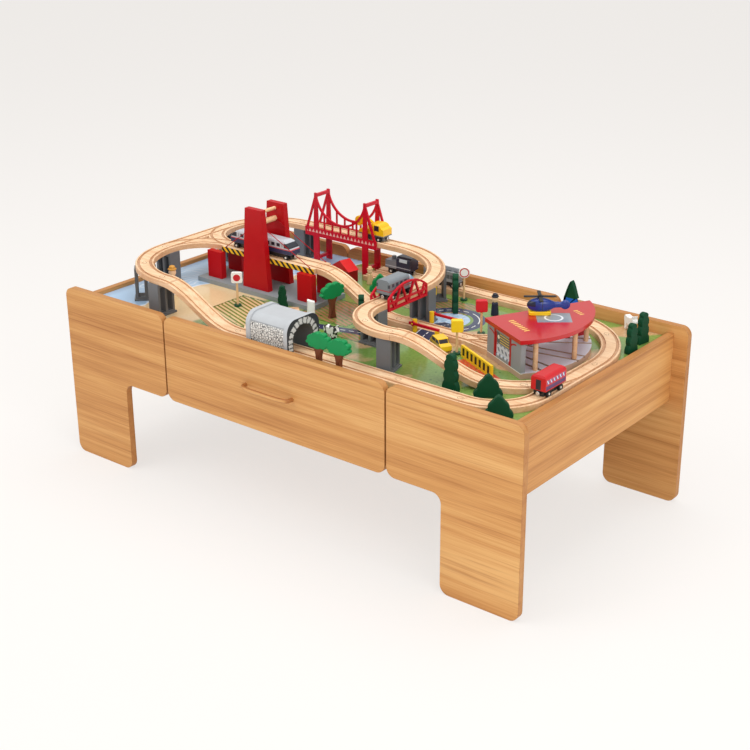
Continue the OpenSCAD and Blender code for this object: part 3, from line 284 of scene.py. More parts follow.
redLook = {
    "tower": rgb(186, 6, 18), "span": rgb(204, 12, 40), "roof": rgb(190, 18, 24), "cord": rgb(178, 14, 26)}
blackLook = {"moulded": rgb(30, 30, 32), "wheel": rgb(34, 34, 36), "panel": rgb(26, 26, 28)}
dress(oak("oakFront", 0, 1), "leg_front_left", "leg_front_right", "leg_rear_left", "leg_rear_right",
      "front_drawer_face", "rear_drawer_face", "front_drawer_handle", "rear_drawer_handle", "support_rails")
dress(oak("oakEnd", 1, 0), "end_boards", "cross_bearers")
dress(oak("drawerWood", 0, 2), "front_drawer_box", "rear_drawer_box")
dress(beech("beechTrack"), "ground_track", "raised_track", "ramps", "roundhouse_columns")
dress(coat("spanPaint", redLook["span"], 0.86, 0.36, 0.1, 0.25), "girder_bridge", "barrier_front",
      "barrier_rear")
dress(coat("pillarPaint", redLook["tower"], 0.86, 0.4, shine=0.2), "cable_bridge_pillars")
dress(coat("greyPlastic", rgb(108, 111, 115), 0.84, 0.5), "track_piers")
print("table and track dressed")

# fields: low corner, high corner and ground; the bay and the beach are lines across the board that drift
boardLook = {
    "sand": rgb(222, 194, 146), "paleSand": rgb(236, 208, 164), "clay": rgb(170, 122, 86),
    "lawn": rgb(138, 168, 88), "deepLawn": rgb(88, 130, 54), "water": rgb(186, 212, 234),
    "deepWater": rgb(150, 186, 222), "foam": rgb(226, 236, 242), "road": rgb(46, 58, 92),
    "line": rgb(232, 232, 224), "crop": rgb(118, 128, 60), "brick": rgb(206, 70, 48),
    "shrub": rgb(58, 104, 44), "beach": -0.08, "beachDrift": 0.4, "bay": -0.2, "bayDrift": 0.35,
    "baySlant": 0.45, "foamLine": -0.192, "ripple": 0.022, "row": 0.011, "rowSlant": 0.35, "hedge": 0.004,
    "ring": (0.27, 0.33), "ringRadius": 0.062, "pond": 0.042, "roadHalf": 0.013, "laneY": -0.09,
    "laneSway": 0.03, "laneWaves": 9.0, "laneEnds": (-0.1, 0.24), "dash": 0.024, "lineHalf": 0.0012,
    "yard": (0.655, -0.33), "yardTurn": -27, "yardHalf": (0.07, 0.016), "paver": 0.008, "shrubs": 70.0,
    "fields": [((-0.3, -0.2), (-0.14, -0.06), "sand"), ((0.02, -0.12), (0.14, 0.02), "clay"),
        ((0.0, 0.1), (0.16, 0.2), "clay"), ((-0.13, -0.07), (0.0, 0.05), "clay")]}


def boardPrint():
    # sand, lawns, striped fields and a bay at the left, a winding road, a ring road round a pond
    b = boardLook
    f = Finish("boardPrint", Specular_IOR_Level=0.5, Coat_Weight=0.3, Coat_Roughness=0.06)
    x, y, z = f.xyz()
    drift = f.noise(5.0, 3.0)
    grass = f.noise(160.0, 3.0)
    lawn = f.mix(grass, b["deepLawn"], b["lawn"])
    bare = f.noise(7.0, 2.0).above(0.55, 0.04)
    base = f.mix(bare, lawn, f.mix(grass, b["clay"], b["sand"]))
    beach = x + drift * b["beachDrift"]
    base = f.mix(beach.below(b["beach"], 0.02), base, f.mix(grass, b["sand"], b["paleSand"]))
    rows = (x * b["rowSlant"] + y).beat(b["row"]).above(0.5, 0.2)
    for low, high, ground in b["fields"]:
        field = x.within(low[0], high[0], 0.003) * y.within(low[1], high[1], 0.003)
        wide, deep = [(low[i] - b["hedge"], high[i] + b["hedge"], 0.002) for i in (0, 1)]
        hedge = x.within(*wide) * y.within(*deep) * grass.above(0.42, 0.1)
        base = f.mix(hedge, base, b["shrub"])
        base = f.mix(field, base, f.mix(rows, b[ground], b["crop"]))
    bay = x + drift * b["bayDrift"] - y * b["baySlant"]
    ripple = (bay + grass * 0.004).beat(b["ripple"]).below(0.16, 0.1) * drift.above(0.45, 0.1)
    water = f.mix(ripple * 0.6, f.mix(drift, b["deepWater"], b["water"]), b["foam"])
    base = f.mix(bay.below(b["foamLine"], 0.004), base, b["foam"])
    base = f.mix(bay.below(b["bay"], 0.012), base, water)
    ringX, ringY = at(*b["ring"])
    away = (x - ringX).reach(y - ringY)
    ring = (away - b["ringRadius"]).mag()
    start, end = b["laneEnds"]
    lane = (y - b["laneY"] - (x * b["laneWaves"]).op("SINE") * b["laneSway"]).mag()
    lane = lane + x.below(start, 0.002) + x.above(end, 0.002)
    road = ring.below(b["roadHalf"], 0.001).top(lane.below(b["roadHalf"], 0.001))
    base = f.mix(road, base, b["road"])
    dash = (x + y).beat(b["dash"]).above(0.4, 0.05)
    line = ring.below(b["lineHalf"], 0.0006).top(lane.below(b["lineHalf"], 0.0006)) * dash
    base = f.mix(line, base, b["line"])
    base = f.mix(away.below(b["pond"], 0.002), base, water)
    u, v, z = f.local(at(*b["yard"]), b["yardTurn"])
    long, wide = b["yardHalf"]
    paving = u.mag().below(long, 0.002) * v.mag().below(wide, 0.002)
    joint = u.beat(b["paver"]).below(0.12, 0.1).top(v.beat(b["paver"]).below(0.12, 0.1))
    base = f.mix(paving, base, f.mix(joint, b["brick"], b["clay"]))
    shrub = (f.cells(b["shrubs"], "F1") + f.noise(40.0, 1.0) * 0.5).below(0.42, 0.03)
    shrub = shrub * drift.above(0.5, 0.04) * (1 - road) * beach.above(b["beach"] + 0.02, 0.02)
    base = f.mix(shrub * 0.8, base, b["shrub"])
    return f.set(Base_Color=base, Roughness=grass * 0.06 + 0.13, Normal=f.bump(grass, 0.02, 0.0003))


dress(boardPrint(), "play_board")
print("board printed")

deckLook = {
    "yellow": rgb(236, 184, 40), "black": rgb(34, 32, 30), "stripe": 0.0165, "outside": 0.0272,
    "slabInside": 0.028, "dowel": rgb(232, 193, 148)}


def bridgeDeck():
    # beech deck whose long sides carry slanted hazard stripes
    d = deckLook
    f = beech("beechDeck")
    x, y, z = f.xyz()
    outer = (y - middle("cable_bridge_deck").y).mag().above(d["outside"])
    side = f.facing()[1].mag().above(0.7, 0.2) * outer
    stripe = (x + z).beat(d["stripe"]).above(0.5, 0.04)
    return printOn(f, (side, f.mix(stripe, d["yellow"], d["black"])))


def bridgeTowers():
    # red slabs; what lies between them is a plain dowel
    f = coat("towerPaint", redLook["tower"], 0.86, 0.38, 0.05, 0.2)
    across = (f.xyz()[1] - middle("cable_bridge_deck").y).mag()
    return printOn(f, (across.below(deckLook["slabInside"]), deckLook["dowel"]))


# sizes along (u) and across (v) the house from its corner; each dash row: along, across, pitch and mark
houseLook = {
    "spot": (0.5937, -0.1026), "turn": -27, "dash": rgb(244, 206, 92),
    "rows": [((0.024, 0.092), (0.032, 0.044), 0.0085, (0.2, 0.62)),
        ((0.03, 0.06), (0.176, 0.186), 0.0075, (0.2, 0.6))]}
padLook = {
    "craft": (0.711, 0.195), "patch": (0.772, 0.19), "turn": 38, "half": (0.034, 0.026), "ring": 0.017,
    "ringHalf": 0.002, "grey": rgb(134, 142, 152), "white": rgb(226, 230, 234)}


def houseRoof():
    # red board with two rows of dashes and a landing patch with a plain ring
    f = coat("roofPaint", redLook["roof"], 0.9, 0.32, 0.5)
    up = f.upward()
    u, v, z = f.local(at(*houseLook["spot"]), houseLook["turn"])
    for along, across, pitch, mark in houseLook["rows"]:
        row = u.within(*along) * v.within(*across) * u.beat(pitch).within(*mark, 0.05)
        printOn(f, (row * up, houseLook["dash"]))
    u, v, z = f.local(at(*padLook["patch"]), padLook["turn"])
    long, wide = padLook["half"]
    patch = u.mag().below(long) * v.mag().below(wide)
    ring = (u.reach(v) - padLook["ring"]).mag().below(padLook["ringHalf"])
    return printOn(f, (patch * up, padLook["grey"]), (ring * up, padLook["white"]))


wallLook = {
    "grey": rgb(150, 154, 158), "red": rgb(176, 30, 36), "lintelRed": rgb(150, 26, 32),
    "slate": rgb(92, 98, 104), "amber": rgb(236, 200, 84), "cream": rgb(238, 232, 206),
    "paper": rgb(206, 212, 220), "ink": rgb(118, 128, 142), "outer": 0.0066, "board": (0.027, 0.086),
    "post": 0.0045, "inner": (0.013, 0.007), "upper": (0.031, 0.054), "lower": (0.005, 0.029),
    "line": 0.0052, "margins": (0.016, 0.007), "disc": (0.011, 0.043, 0.004), "tile": (0.0145, 0.012),
    "slant": 0.6, "lintel": 0.0575, "brace": 0.013, "braceTop": 0.0505, "braceFlat": 0.55,
    "braceHalf": 0.0016}


def houseWalls():
    # grey panels between red posts with curved braces, a red lintel, two plain notice boards on the
    # outer wall; a brace is an arc in a squeezed frame beside each post
    w = wallLook
    f = coat("wallPaint", w["grey"], 0.85, 0.5)
    u, v, z = f.local(at(*houseLook["spot"]), houseLook["turn"])
    h = z - railTop
    left, right = w["board"]
    outside = v.below(w["outer"])
    posts = (u - left).mag().below(w["post"]).top((u - right).mag().below(w["post"]))
    bow = w["brace"]
    foot = h - (w["braceTop"] - bow)
    for out in ((u - left) * w["braceFlat"] + bow, (right - u) * w["braceFlat"] + bow):
        arc = (out.reach(foot) - bow).mag().below(w["braceHalf"])
        posts = posts.top(arc * out.within(0.0, bow + 0.001) * foot.above(0.0))
    upper, lower = [u.within(left, right) * outside * h.within(*w[board]) for board in ("upper", "lower")]
    start, end = left + w["margins"][0], right - w["margins"][1]
    lines = h.beat(w["line"]).within(0.3, 0.62, 0.06) * u.within(start, end)
    along, up, radius = w["disc"]
    disc = (u - (left + along)).reach(h - up).below(radius)
    long, tall = w["tile"]
    tiles = (u + h * w["slant"]).beat(long).within(0.25, 0.7, 0.06) * h.beat(tall).within(0.2, 0.8, 0.06)
    across, along = w["inner"]
    return printOn(f, (v.above(across) * u.below(along), w["red"]), (upper, w["slate"]),
                   (upper * lines, w["amber"]), (upper * disc, w["cream"]), (lower, w["paper"]),
                   (lower * tiles, w["ink"]), (posts * outside, w["red"]),
                   (h.above(w["lintel"]), w["lintelRed"]))


floorLook = {
    "pale": rgb(212, 214, 224), "rail": rgb(36, 36, 40), "rim": rgb(186, 142, 104), "rimShare": 0.8,
    "white": rgb(236, 234, 228), "whiteTall": 0.0016, "outer": 0.0075, "sunk": 0.001}


def houseFloor():
    # pale grey floor with black rails and a wooden rim under a white edge
    w = floorLook
    f = coat("floorPaint", w["pale"], 0.95, 0.42)
    u, v, z = f.local(at(*houseLook["spot"]), houseLook["turn"])
    up = f.upward()
    edge = (1 - up) * z.above(railTop - w["whiteTall"]) * v.below(w["outer"])
    return printOn(f, (z.below(railTop - w["sunk"]) * up, w["rail"]), ((1 - up) * w["rimShare"], w["rim"]),
                   (edge, w["white"]))


tunnelLook = {
    "roof": rgb(186, 190, 194), "pebble": rgb(240, 239, 234), "dullPebble": rgb(188, 187, 184),
    "mortar": rgb(66, 68, 70), "arch": rgb(48, 52, 58), "stone": rgb(206, 208, 208),
    "boreShade": rgb(112, 114, 118), "seamGrey": rgb(116, 120, 124), "bore": 0.030, "spring": 0.034,
    "stones": 19, "legStone": 0.0085, "ring": (0.0362, 0.0478), "wobble": 170.0, "grain": 185.0,
    "collar": 0.0102, "sideTop": 0.062, "seam": (0.0615, 0.064), "seamShare": 0.6, "endDeep": 0.002,
    "rim": 0.004, "skin": 0.0006}


def tunnelStone():
    # cast grey shell: pebbles stand out of dark mortar on the sides, a dark arch with pale stones at each
    # mouth, counted by the angle round the bore and by the height on its legs; the inside of the bore is
    # darker grey, painted shade
    t = tunnelLook
    f = coat("tunnelCast", t["roof"], 0.86, 0.55)
    x, y, z = f.xyz()
    nx, ny, nz = f.facing()
    low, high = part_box("tunnel")
    centre = (low + high) / 2
    across, rise = y - centre.y, z - (playZ + t["spring"])
    under = rise.below(0.0)
    out = f.between(under, across.reach(rise), across.mag())
    mouth = nx.mag().above(0.7, 0.2) * (x - centre.x).mag().above(high.x - centre.x - t["endDeep"])
    turn = rise.op("ARCTAN2", across) * (t["stones"] / math.tau)
    wobble = f.noise(t["wobble"], 1.0)
    blob = (f.between(under, turn, rise / t["legStone"]) + wobble * 0.5).op("FRACT").within(0.14, 0.9, 0.16)
    blob = blob * (out + wobble * 0.009).within(*t["ring"], 0.001)
    gap = f.cells(t["grain"], "DISTANCE_TO_EDGE")
    tone = f.cells(t["grain"], "F1", 1) + 0.1
    side = ny.mag().above(0.8, 0.2) * x.within(low.x + t["collar"], high.x - t["collar"])
    bottom, top = t["seam"]
    seam = side * z.within(playZ + bottom, playZ + top, 0.001)
    side = side * z.below(playZ + t["sideTop"], 0.002) * out.above(t["bore"] + t["rim"])
    # painted shade: the inside of the bore, away from the mouths, is a darker grey
    boreShade = out.below(t["bore"] + t["skin"]) * (1 - mouth)
    relief = side * (1 - gap.below(0.16, 0.2)) + mouth * blob
    f.set(Normal=f.bump(relief, 0.5, 0.0008, f.soft(0.001)))
    return printOn(f, (side, f.mix(tone, t["dullPebble"], t["pebble"])),
                   (side * gap.below(0.07, 0.07), t["mortar"]), (seam * t["seamShare"], t["seamGrey"]),
                   (mouth, t["arch"]), (mouth * blob, t["stone"]), (boreShade, t["boreShade"]))


spanLook = {
    "pitch": 0.0105, "beam": 0.018, "low": 0.0092, "high": 0.0172, "half": 0.1, "slope": 2.6,
    "pale": rgb(232, 176, 166)}


def suspensionPaint():
    # red span; the side beams carry a row of pale triangles, point up, like the openings of a truss
    s = spanLook
    f = coat("suspensionPaint", redLook["span"], 0.86, 0.36, 0.1, 0.25)
    x, y, z = f.xyz()
    h = (z - (raisedTop - s["beam"] + s["low"])) / (s["high"] - s["low"])
    lean = (x.beat(s["pitch"]) - 0.5).mag() * s["slope"]
    opening = h.within(0.0, 1.0, 0.05) * (lean + h).below(1.0, 0.12) * f.facing()[1].mag().above(0.8, 0.2)
    return printOn(f, (opening * (x - middle("suspension_bridge").x).mag().below(s["half"]), s["pale"]))


barnLook = {"roof": rgb(216, 20, 22), "wall": rgb(142, 14, 20), "eaves": 0.0275}


def barnPaint():
    # bright roof over deeper red walls
    f = coat("barnPaint", barnLook["roof"], 0.88, 0.4, 0.05, 0.3)
    return printOn(f, (f.xyz()[2].below(playZ + barnLook["eaves"]), barnLook["wall"]))


crossingLook = {
    "post": rgb(246, 200, 26), "road": rgb(48, 56, 84), "line": rgb(230, 230, 226),
    "kerb": rgb(206, 210, 216), "roadHalf": 0.0225, "kerbFrom": 0.0195, "lineHalf": 0.0012, "dash": 0.012}


def crossingPaint():
    # yellow posts, a dark road with a dashed line and pale kerbs
    c = crossingLook
    f = coat("crossingPaint", c["post"], 0.88, 0.42, 0.1)
    x, y, z = f.xyz()
    away = (x - middle("crossing_base").x).mag()
    line = away.below(c["lineHalf"]) * y.beat(c["dash"]).above(0.4, 0.05)
    return printOn(f, (away.below(c["roadHalf"]), c["road"]), (line, c["line"]),
                   (away.within(c["kerbFrom"], c["roadHalf"]), c["kerb"]))


dress(bridgeDeck(), "cable_bridge_deck")
dress(bridgeTowers(), "cable_bridge_towers")
dress(suspensionPaint(), "suspension_bridge")
dress(coat("basePaint", rgb(146, 154, 158), 0.88, 0.5), "cable_bridge_base")
dress(houseRoof(), "roundhouse_roof")
dress(houseWalls(), "roundhouse_walls")
dress(houseFloor(), "roundhouse_floor")
dress(tunnelStone(), "tunnel")
dress(barnPaint(), "barn")
dress(crossingPaint(), "crossing_base")
print("bridges and buildings dressed")

# places on a toy: u along, far the same without sign, out across without sign, h up, lean a slanted u;
# panes: place, start, pitch and the share of each pitch; disc: place, centre, height and radius; a range
# with noEnd is open on that side
noEnd = 1.0
stockLook = {"chassis": rgb(38, 38, 40), "chassisTop": 0.0124, "sideFrom": 0.0125, "slant": 0.7}
glassLook = {"pale": rgb(206, 222, 234), "dark": rgb(30, 34, 46)}
stock = {
    "express": dict(paint=rgb(196, 200, 208), turn=0, level=raisedTop, layers=[
        dict(color=rgb(44, 50, 86), h=(0.0124, 0.0215)),
        dict(color=rgb(196, 40, 52), h=(0.0215, 0.0235)),
        dict(color=glassLook["dark"], face="side", h=(0.027, 0.0345), far=(0.006, 0.066),
             panes=[("far", 0.0, 0.0155, 0.18, 0.82, 0.04)]),
        dict(color=glassLook["dark"], far=(0.0705, noEnd), h=(0.026, 0.036))]),
    "coach": dict(paint=rgb(200, 12, 26), turn=90, level=railTop, gloss=0.2, layers=[
        dict(color=rgb(84, 40, 96), face="side", h=(0.0145, 0.0225), far=(-noEnd, 0.0335)),
        dict(color=rgb(120, 92, 140), face="side", h=(0.0255, 0.0335), far=(-noEnd, 0.0305),
             panes=[("u", 0.0315, 0.0105, 0.14, 0.86, 0.04)]),
        # painted reflection: a pale slanted streak on each pane stands in for a glint of light on the glass
        dict(color=glassLook["pale"], face="side", h=(0.0255, 0.0335), far=(-noEnd, 0.0305),
             panes=[("u", 0.0315, 0.0105, 0.14, 0.86, 0.04), ("lean", 0.0, 0.0105, 0.25, 0.5, 0.06)]),
        dict(color=glassLook["dark"], far=(0.0346, noEnd), out=(-noEnd, 0.0055), h=(0.0135, 0.0335))]),
    "hopper": dict(paint=rgb(168, 172, 176), turn=0, level=railTop, gloss=0.1, layers=[
        dict(color=rgb(104, 108, 114), face="side", h=(0.0195, 0.0285), far=(0.004, 0.021)),
        dict(color=rgb(176, 180, 186), face="side", h=(0.014, 0.0355),
             panes=[("far", 0.0, 0.0125, 0.0, 0.1, 0.05)])]),
    "shunter": dict(paint=rgb(128, 132, 140), turn=180, level=railTop, layers=[
        dict(color=rgb(40, 46, 70), u=(-noEnd, 0.0035)),
        dict(color=glassLook["pale"], face="side", h=(0.0305, 0.038), u=(-0.027, -0.005)),
        dict(color=rgb(190, 196, 204), face="side", h=(0.0165, 0.018)),
        dict(color=rgb(228, 226, 214), u=(0.0346, noEnd), disc=("out", 0.0, 0.0215, 0.005))]),
    "streamliner": dict(paint=rgb(124, 132, 138), turn=90, level=raisedTop, layers=[
        dict(color=rgb(58, 66, 76), face="side", h=(0.0265, 0.0335), u=(-noEnd, 0.021),
             panes=[("u", 0.05, 0.0135, 0.2, 0.8, 0.05)]),
        dict(color=rgb(214, 220, 222), u=(0.0245, noEnd, 0.001)),
        dict(color=rgb(176, 48, 52), h=(0.0185, 0.0205)),
        dict(color=rgb(134, 196, 222), u=(0.0265, 0.0405), h=(0.0275, 0.0395))]),
    "crane": dict(paint=rgb(250, 196, 14), turn=180, level=raisedTop, layers=[
        dict(color=rgb(110, 112, 114), h=(-noEnd, 0.0145), far=(-noEnd, 0.036)),
        dict(color=glassLook["dark"], face="side", u=(-0.0226, -0.009), h=(0.0243, 0.0367)),
        dict(color=glassLook["dark"], face="flat", u=(-0.001, 0.006), h=(0.0285, 0.0375),
             out=(-noEnd, 0.0105)),
        dict(color=rgb(92, 94, 98), disc=("u", 0.0298, 0.0465, 0.0042))])}


def layered(f, u, v, h, layers):
    # lays each layer where all of its ranges hold; side is an upright face far enough from the middle line,
    # and flat is any other
    side = f.facing()[2].mag().below(0.6, 0.2) * v.mag().above(stockLook["sideFrom"])
    faces = {"side": lambda: side, "flat": lambda: 1 - side, "all": lambda: 1.0}
    places = {"u": lambda: u, "far": u.mag, "out": v.mag, "h": lambda: h,
              "lean": lambda: u + h * stockLook["slant"]}
    for layer in layers:
        mask = faces[layer.get("face", "all")]()
        for name in [n for n in places if n in layer]:
            mask = mask * places[name]().within(*layer[name])
        for name, start, pitch, *share in layer.get("panes", []):
            mask = mask * (places[name]() + start).beat(pitch).within(*share)
        if "disc" in layer:
            name, centre, height, radius = layer["disc"]
            mask = mask * (places[name]() - centre).reach(h - height).below(radius)
        printOn(f, (mask, layer["color"]))
    return f


def livery(name, paint, turn, level, layers, gloss=0.35):
    # coat over a black chassis; places are from the middle between the outer axles and from the rails up
    f = coat(name + "_body", paint, 0.88, 0.34, gloss)
    axles = [middle(n) for n in sorted(nodes) if n.startswith(name + "_wheels")]
    u, v, z = f.local((axles[0] + axles[-1]) / 2, turn)
    printOn(f, ((z - level).below(stockLook["chassisTop"]), stockLook["chassis"]))
    return layered(f, u, v, z - level, layers)


wheelLook = {
    "hub": rgb(222, 220, 212), "hubRadius": 0.0024, "rim": (0.0047, 0.0052), "rimGrey": rgb(70, 70, 72)}


def rollAxis(node):  # 0 for wheels that roll along the table, 1 for wheels that roll across it
    low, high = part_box(node)
    return 0 if high.x - low.x < high.y - low.y else 1


def wheelBlack(node):
    # black wheel with a pale hub, set by the distance from the axle
    f = coat(node, blackLook["wheel"], 0.8, 0.42)
    place, spot, axis = f.xyz(), middle(node), rollAxis(node)
    away = (place[axis] - spot[axis]).reach(place[2] - spot.z)
    return printOn(f, (away.below(wheelLook["hubRadius"]), wheelLook["hub"]),
                   (away.within(*wheelLook["rim"]), wheelLook["rimGrey"]))


for name, look in stock.items():
    dress(livery(name, **look), name + "_body")
for name in sorted(n for n in nodes if "_wheels_" in n):
    dress(wheelBlack(name), name)
print("rolling stock dressed")

# each sign: shares of the board along and across, height and colour of its box
signLook = {
    "signs": [(0.181, 0.735, 0.076, "white"), (-0.478, -0.393, 0.077, "white"),
        (0.494, -0.178, 0.072, "yellow"), (0.119, 0.482, 0.050, "yellow"), (0.449, 0.232, 0.074, "red")],
    "white": rgb(240, 238, 234), "yellow": rgb(248, 206, 30), "red": rgb(206, 28, 40),
    "fence": rgb(244, 200, 28), "post": rgb(224, 184, 136), "foot": rgb(14, 74, 46), "turn": 39,
    "half": 0.012, "seam": 0.0004, "reach": 0.0135, "footTall": 0.0045, "front": 0.003,
    "ring": (0.0082, 0.0106), "ringRed": rgb(196, 30, 40), "disc": 0.0078, "discRed": rgb(200, 30, 42)}


def signPaint():
    # wooden posts on green feet under plain boxes, the first with a ring and the second with a disc; the
    # fence is yellow
    s = signLook
    f = coat("signPaint", s["fence"], 0.9, 0.45)
    for i, (x, y, tall, color) in enumerate(s["signs"]):
        u, v, z = f.local(at(x, y), s["turn"])
        here = u.mag().below(s["reach"]) * v.mag().below(s["reach"])
        rise = z - playZ
        box = here * rise.above(tall - 2 * s["half"] - s["seam"])
        printOn(f, (here, s["post"]), (here * rise.below(s["footTall"]), s["foot"]), (box, s[color]))
        away = u.reach(rise - (tall - s["half"]))
        front = here * v.mag().above(s["front"])
        if i == 0:
            printOn(f, (front * away.within(*s["ring"]), s["ringRed"]))
        if i == 1:
            printOn(f, (front * away.below(s["disc"]), s["discRed"]))
    return f


# pegs: shares of the board along and across, height, coat and hat; boards: shares, turn and height;
# the profile of a peg and the outlines of the boards are in shares of the height
figureLook = {
    "pegs": [(0.373, 0.612, 0.049, "navy", "night"), (-0.807, -0.451, 0.060, "tan", "straw"),
        (-0.235, 0.595, 0.042, "wood", "wood")],
    "navy": rgb(30, 36, 60), "night": rgb(28, 30, 44), "tan": rgb(196, 140, 62), "straw": rgb(206, 148, 60),
    "wood": rgb(222, 184, 138), "skin": rgb(238, 200, 164), "white": rgb(250, 249, 247), "reach": 0.3,
    "face": (0.61, 0.82), "patches": 70.0, "cowHalf": (0.035, 0.01),
    "boards": [(0.867, 0.926, -40, 0.040), (0.049, -0.503, -20, 0.038), (-0.181, -0.212, 39, 0.036)],
    "animal": [(-0.46, 0.0), (-0.26, 0.0), (-0.26, 0.3), (-0.2, 0.37), (0.16, 0.35), (0.2, 0.3), (0.2, 0.0),
        (0.38, 0.0), (0.4, 0.34), (0.46, 0.5), (0.5, 0.62), (0.66, 0.59), (0.72, 0.67), (0.66, 0.78),
        (0.57, 0.89), (0.63, 1.02), (0.55, 1.02), (0.46, 0.9), (0.34, 0.87), (0.2, 0.79), (-0.2, 0.76),
        (-0.46, 0.77), (-0.55, 0.7), (-0.57, 0.48), (-0.51, 0.46), (-0.49, 0.3)],
    "stone": [(-0.225, 0.0), (0.225, 0.0), (0.225, 0.85), (-0.225, 1.0)],
    "rise": (0.0, 0.01, 0.06, 0.55, 0.6, 0.66, 0.74, 0.8, 0.835, 0.845, 0.875, 0.885, 0.97, 1.0),
    "radius": (0.16, 0.19, 0.2, 0.155, 0.1, 0.145, 0.165, 0.15, 0.15, 0.19, 0.19, 0.145, 0.125, 0.05),
    "slim": 0.86, "rings": 90, "sides": 28, "thick": 0.0115, "rim": 0.0012, "points": 160, "bend": 20}


def figurePaint():
    # white animals, the second with dark patches; peg people in coat, plain face and hat
    p = figureLook
    f = coat("figurePaint", p["white"], 0.97, 0.45)
    x, y, turn = p["boards"][1][:3]
    u, v, z = f.local(at(x, y), turn)
    long, wide = p["cowHalf"]
    patches = f.noise(p["patches"], 1.0).above(0.535, 0.03)
    printOn(f, (patches * u.mag().below(long) * v.mag().below(wide), blackLook["wheel"]))
    chin, brow = p["face"]
    for x, y, tall, cloth, hat in p["pegs"]:
        u, v, z = f.local(at(x, y), 0)
        rise = z - playZ
        here = u.mag().below(p["reach"] * tall) * v.mag().below(p["reach"] * tall)
        face = here * rise.within(chin * tall, brow * tall)
        printOn(f, (here, p[cloth]), (face, p["skin"]), (here * rise.above(brow * tall), p[hat]))
    return f


carLook = {
    "yellow": rgb(248, 200, 20), "spot": (0.42, -0.171), "turn": -30, "wheelFrom": 0.01205,
    "glass": (0.0175, 0.0242), "paneFrom": 0.0105, "paneRun": (0.0012, 0.016), "screenHalf": 0.0095}


def carPaint():
    # yellow car with dark panes and black wheels
    c = carLook
    f = coat("carPaint", c["yellow"], 0.88, 0.34, 0.4)
    u, v, z = f.local(at(*c["spot"]), c["turn"])
    across = v.mag()
    panes = (across.above(c["paneFrom"]) * u.mag().within(*c["paneRun"])).top(across.below(c["screenHalf"]))
    return printOn(f, (panes * (z - playZ).within(*c["glass"]), glassLook["dark"]),
                   (across.above(c["wheelFrom"], 0.0002), stockLook["chassis"]))


# the hull's places run from the mast to the tail; mast: bottom, top and radius; float: height and half sizes
craftLook = {
    "blue": rgb(20, 50, 138), "glass": rgb(12, 20, 52), "yellow": rgb(250, 200, 20), "paneTo": -0.0095,
    "pane": (0.0185, 0.0285), "seam": 0.004, "seamHalf": 0.0006, "nose": -0.0255, "end": 0.0595,
    "cabin": 0.0142, "back": 0.036, "rise": 0.0192, "wide": 0.9, "boom": 0.0068, "taper": 0.0016,
    "boomEnd": 0.052, "slim": 0.72, "fin": 0.0095, "finAt": 0.05, "finHalf": 0.003, "finRound": 0.4,
    "blend": 6.0, "least": 0.00005, "rings": 90, "sides": 36, "mast": (0.03, 0.04, 0.002),
    "float": (0.008, 0.022, 0.012), "rim": 0.0012, "hullSquare": 0.8, "floatSquare": 0.3, "bend": 40}


def helicopterPaint():
    # blue body with a dark front pane and a seam
    c = craftLook
    f = coat("helicopterPaint", c["blue"], 0.85, 0.34, 0.35)
    u, v, z = f.local(at(*padLook["craft"]), padLook["turn"])
    pane = u.below(c["paneTo"]) * (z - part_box("helicopter_body")[0].z).within(*c["pane"])
    seam = (u - c["seam"]).mag().below(c["seamHalf"])
    return printOn(f, (pane.top(seam), c["glass"]))


dress(signPaint(), "signs")
figureCoat = figurePaint()
dress(figureCoat, "figures")
dress(carPaint(), "toy_car")
craftBlue = helicopterPaint()
dress(craftBlue, "helicopter_body")
dress(coat("rotorBlack", blackLook["moulded"], 0.8, 0.45), "helicopter_rotor")
print("toys dressed")


def circle(sides, start=0.0):  # angles in equal steps round a circle
    return (np.arange(sides) + start) * 2 * np.pi / sides


def squared(angle, power):  # cosine and sine raised to a power, each with its sign
    wave = np.stack([np.cos(angle), np.sin(angle)])
    return np.sign(wave) * np.abs(wave) ** power


def grid(verts, start=0):
    # quads between neighbouring rings of each run and one face on each end; a run whose quads enclose less
    # than nothing, seen from its middle, is read the other way round, so that all faces look outward
    index = start + np.arange(verts[..., 0].size).reshape(verts.shape[:3])
    far = verts - verts.mean((1, 2), keepdims=True)
    near, beyond = far[:, :-1], far[:, 1:]
    nearNext, beyondNext = np.roll(near, -1, 2), np.roll(beyond, -1, 2)
    filled = (np.cross(nearNext - beyond, beyondNext - near) * near).sum((1, 2, 3))
    index = np.where(filled[:, None, None] < 0, index[..., ::-1], index)
    ahead = np.roll(index, -1, 2)
    quads = np.stack([index[:, :-1], ahead[:, :-1], ahead[:, 1:], index[:, 1:]], -1).reshape(-1, 4)
    return quads.tolist() + index[:, 0, ::-1].tolist() + index[:, -1].tolist()


def makePiece(name, verts, faces, body, slot, *finishes):
    mesh = bpy.data.meshes.new(name)
    mesh.from_pydata(verts.reshape(-1, 3).tolist(), [], faces)
    for finish in finishes:
        mesh.materials.append(finish.mat)
    piece = bpy.data.objects.new(name, mesh)
    bpy.context.scene.collection.objects.link(piece)
    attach(piece, body)
    return piece


def smooth(piece, bend):  # rounds the shading where faces meet at less than the bend
    piece.data.polygons.foreach_set("use_smooth", np.ones(len(piece.data.polygons), bool))
    piece.data.set_sharp_from_angle(angle=math.radians(bend))


def paintBands(piece, verts, bands):
    # number of the finish for each band between two rings; the end faces take that of the band beside them
    runs, rings, sides = verts.shape[:3]
    bands = np.broadcast_to(bands, (runs, rings - 1))
    index = np.concatenate([bands.repeat(sides), bands[:, 0], bands[:, -1]])
    piece.data.polygons.foreach_set("material_index", index.astype("i"))


def sweep(paths, wide, high, sides):
    # oval section on each point of a level path: across the path by its half width, up by its half height
    along = np.gradient(paths, axis=1)
    along /= np.linalg.norm(along, axis=2, keepdims=True)
    up = np.array((0.0, 0.0, 1.0))
    angle = circle(sides)[:, None]
    across = np.cross(up, along)[:, :, None]
    return paths[:, :, None] + across * wide * np.cos(angle) + up * high * np.sin(angle)


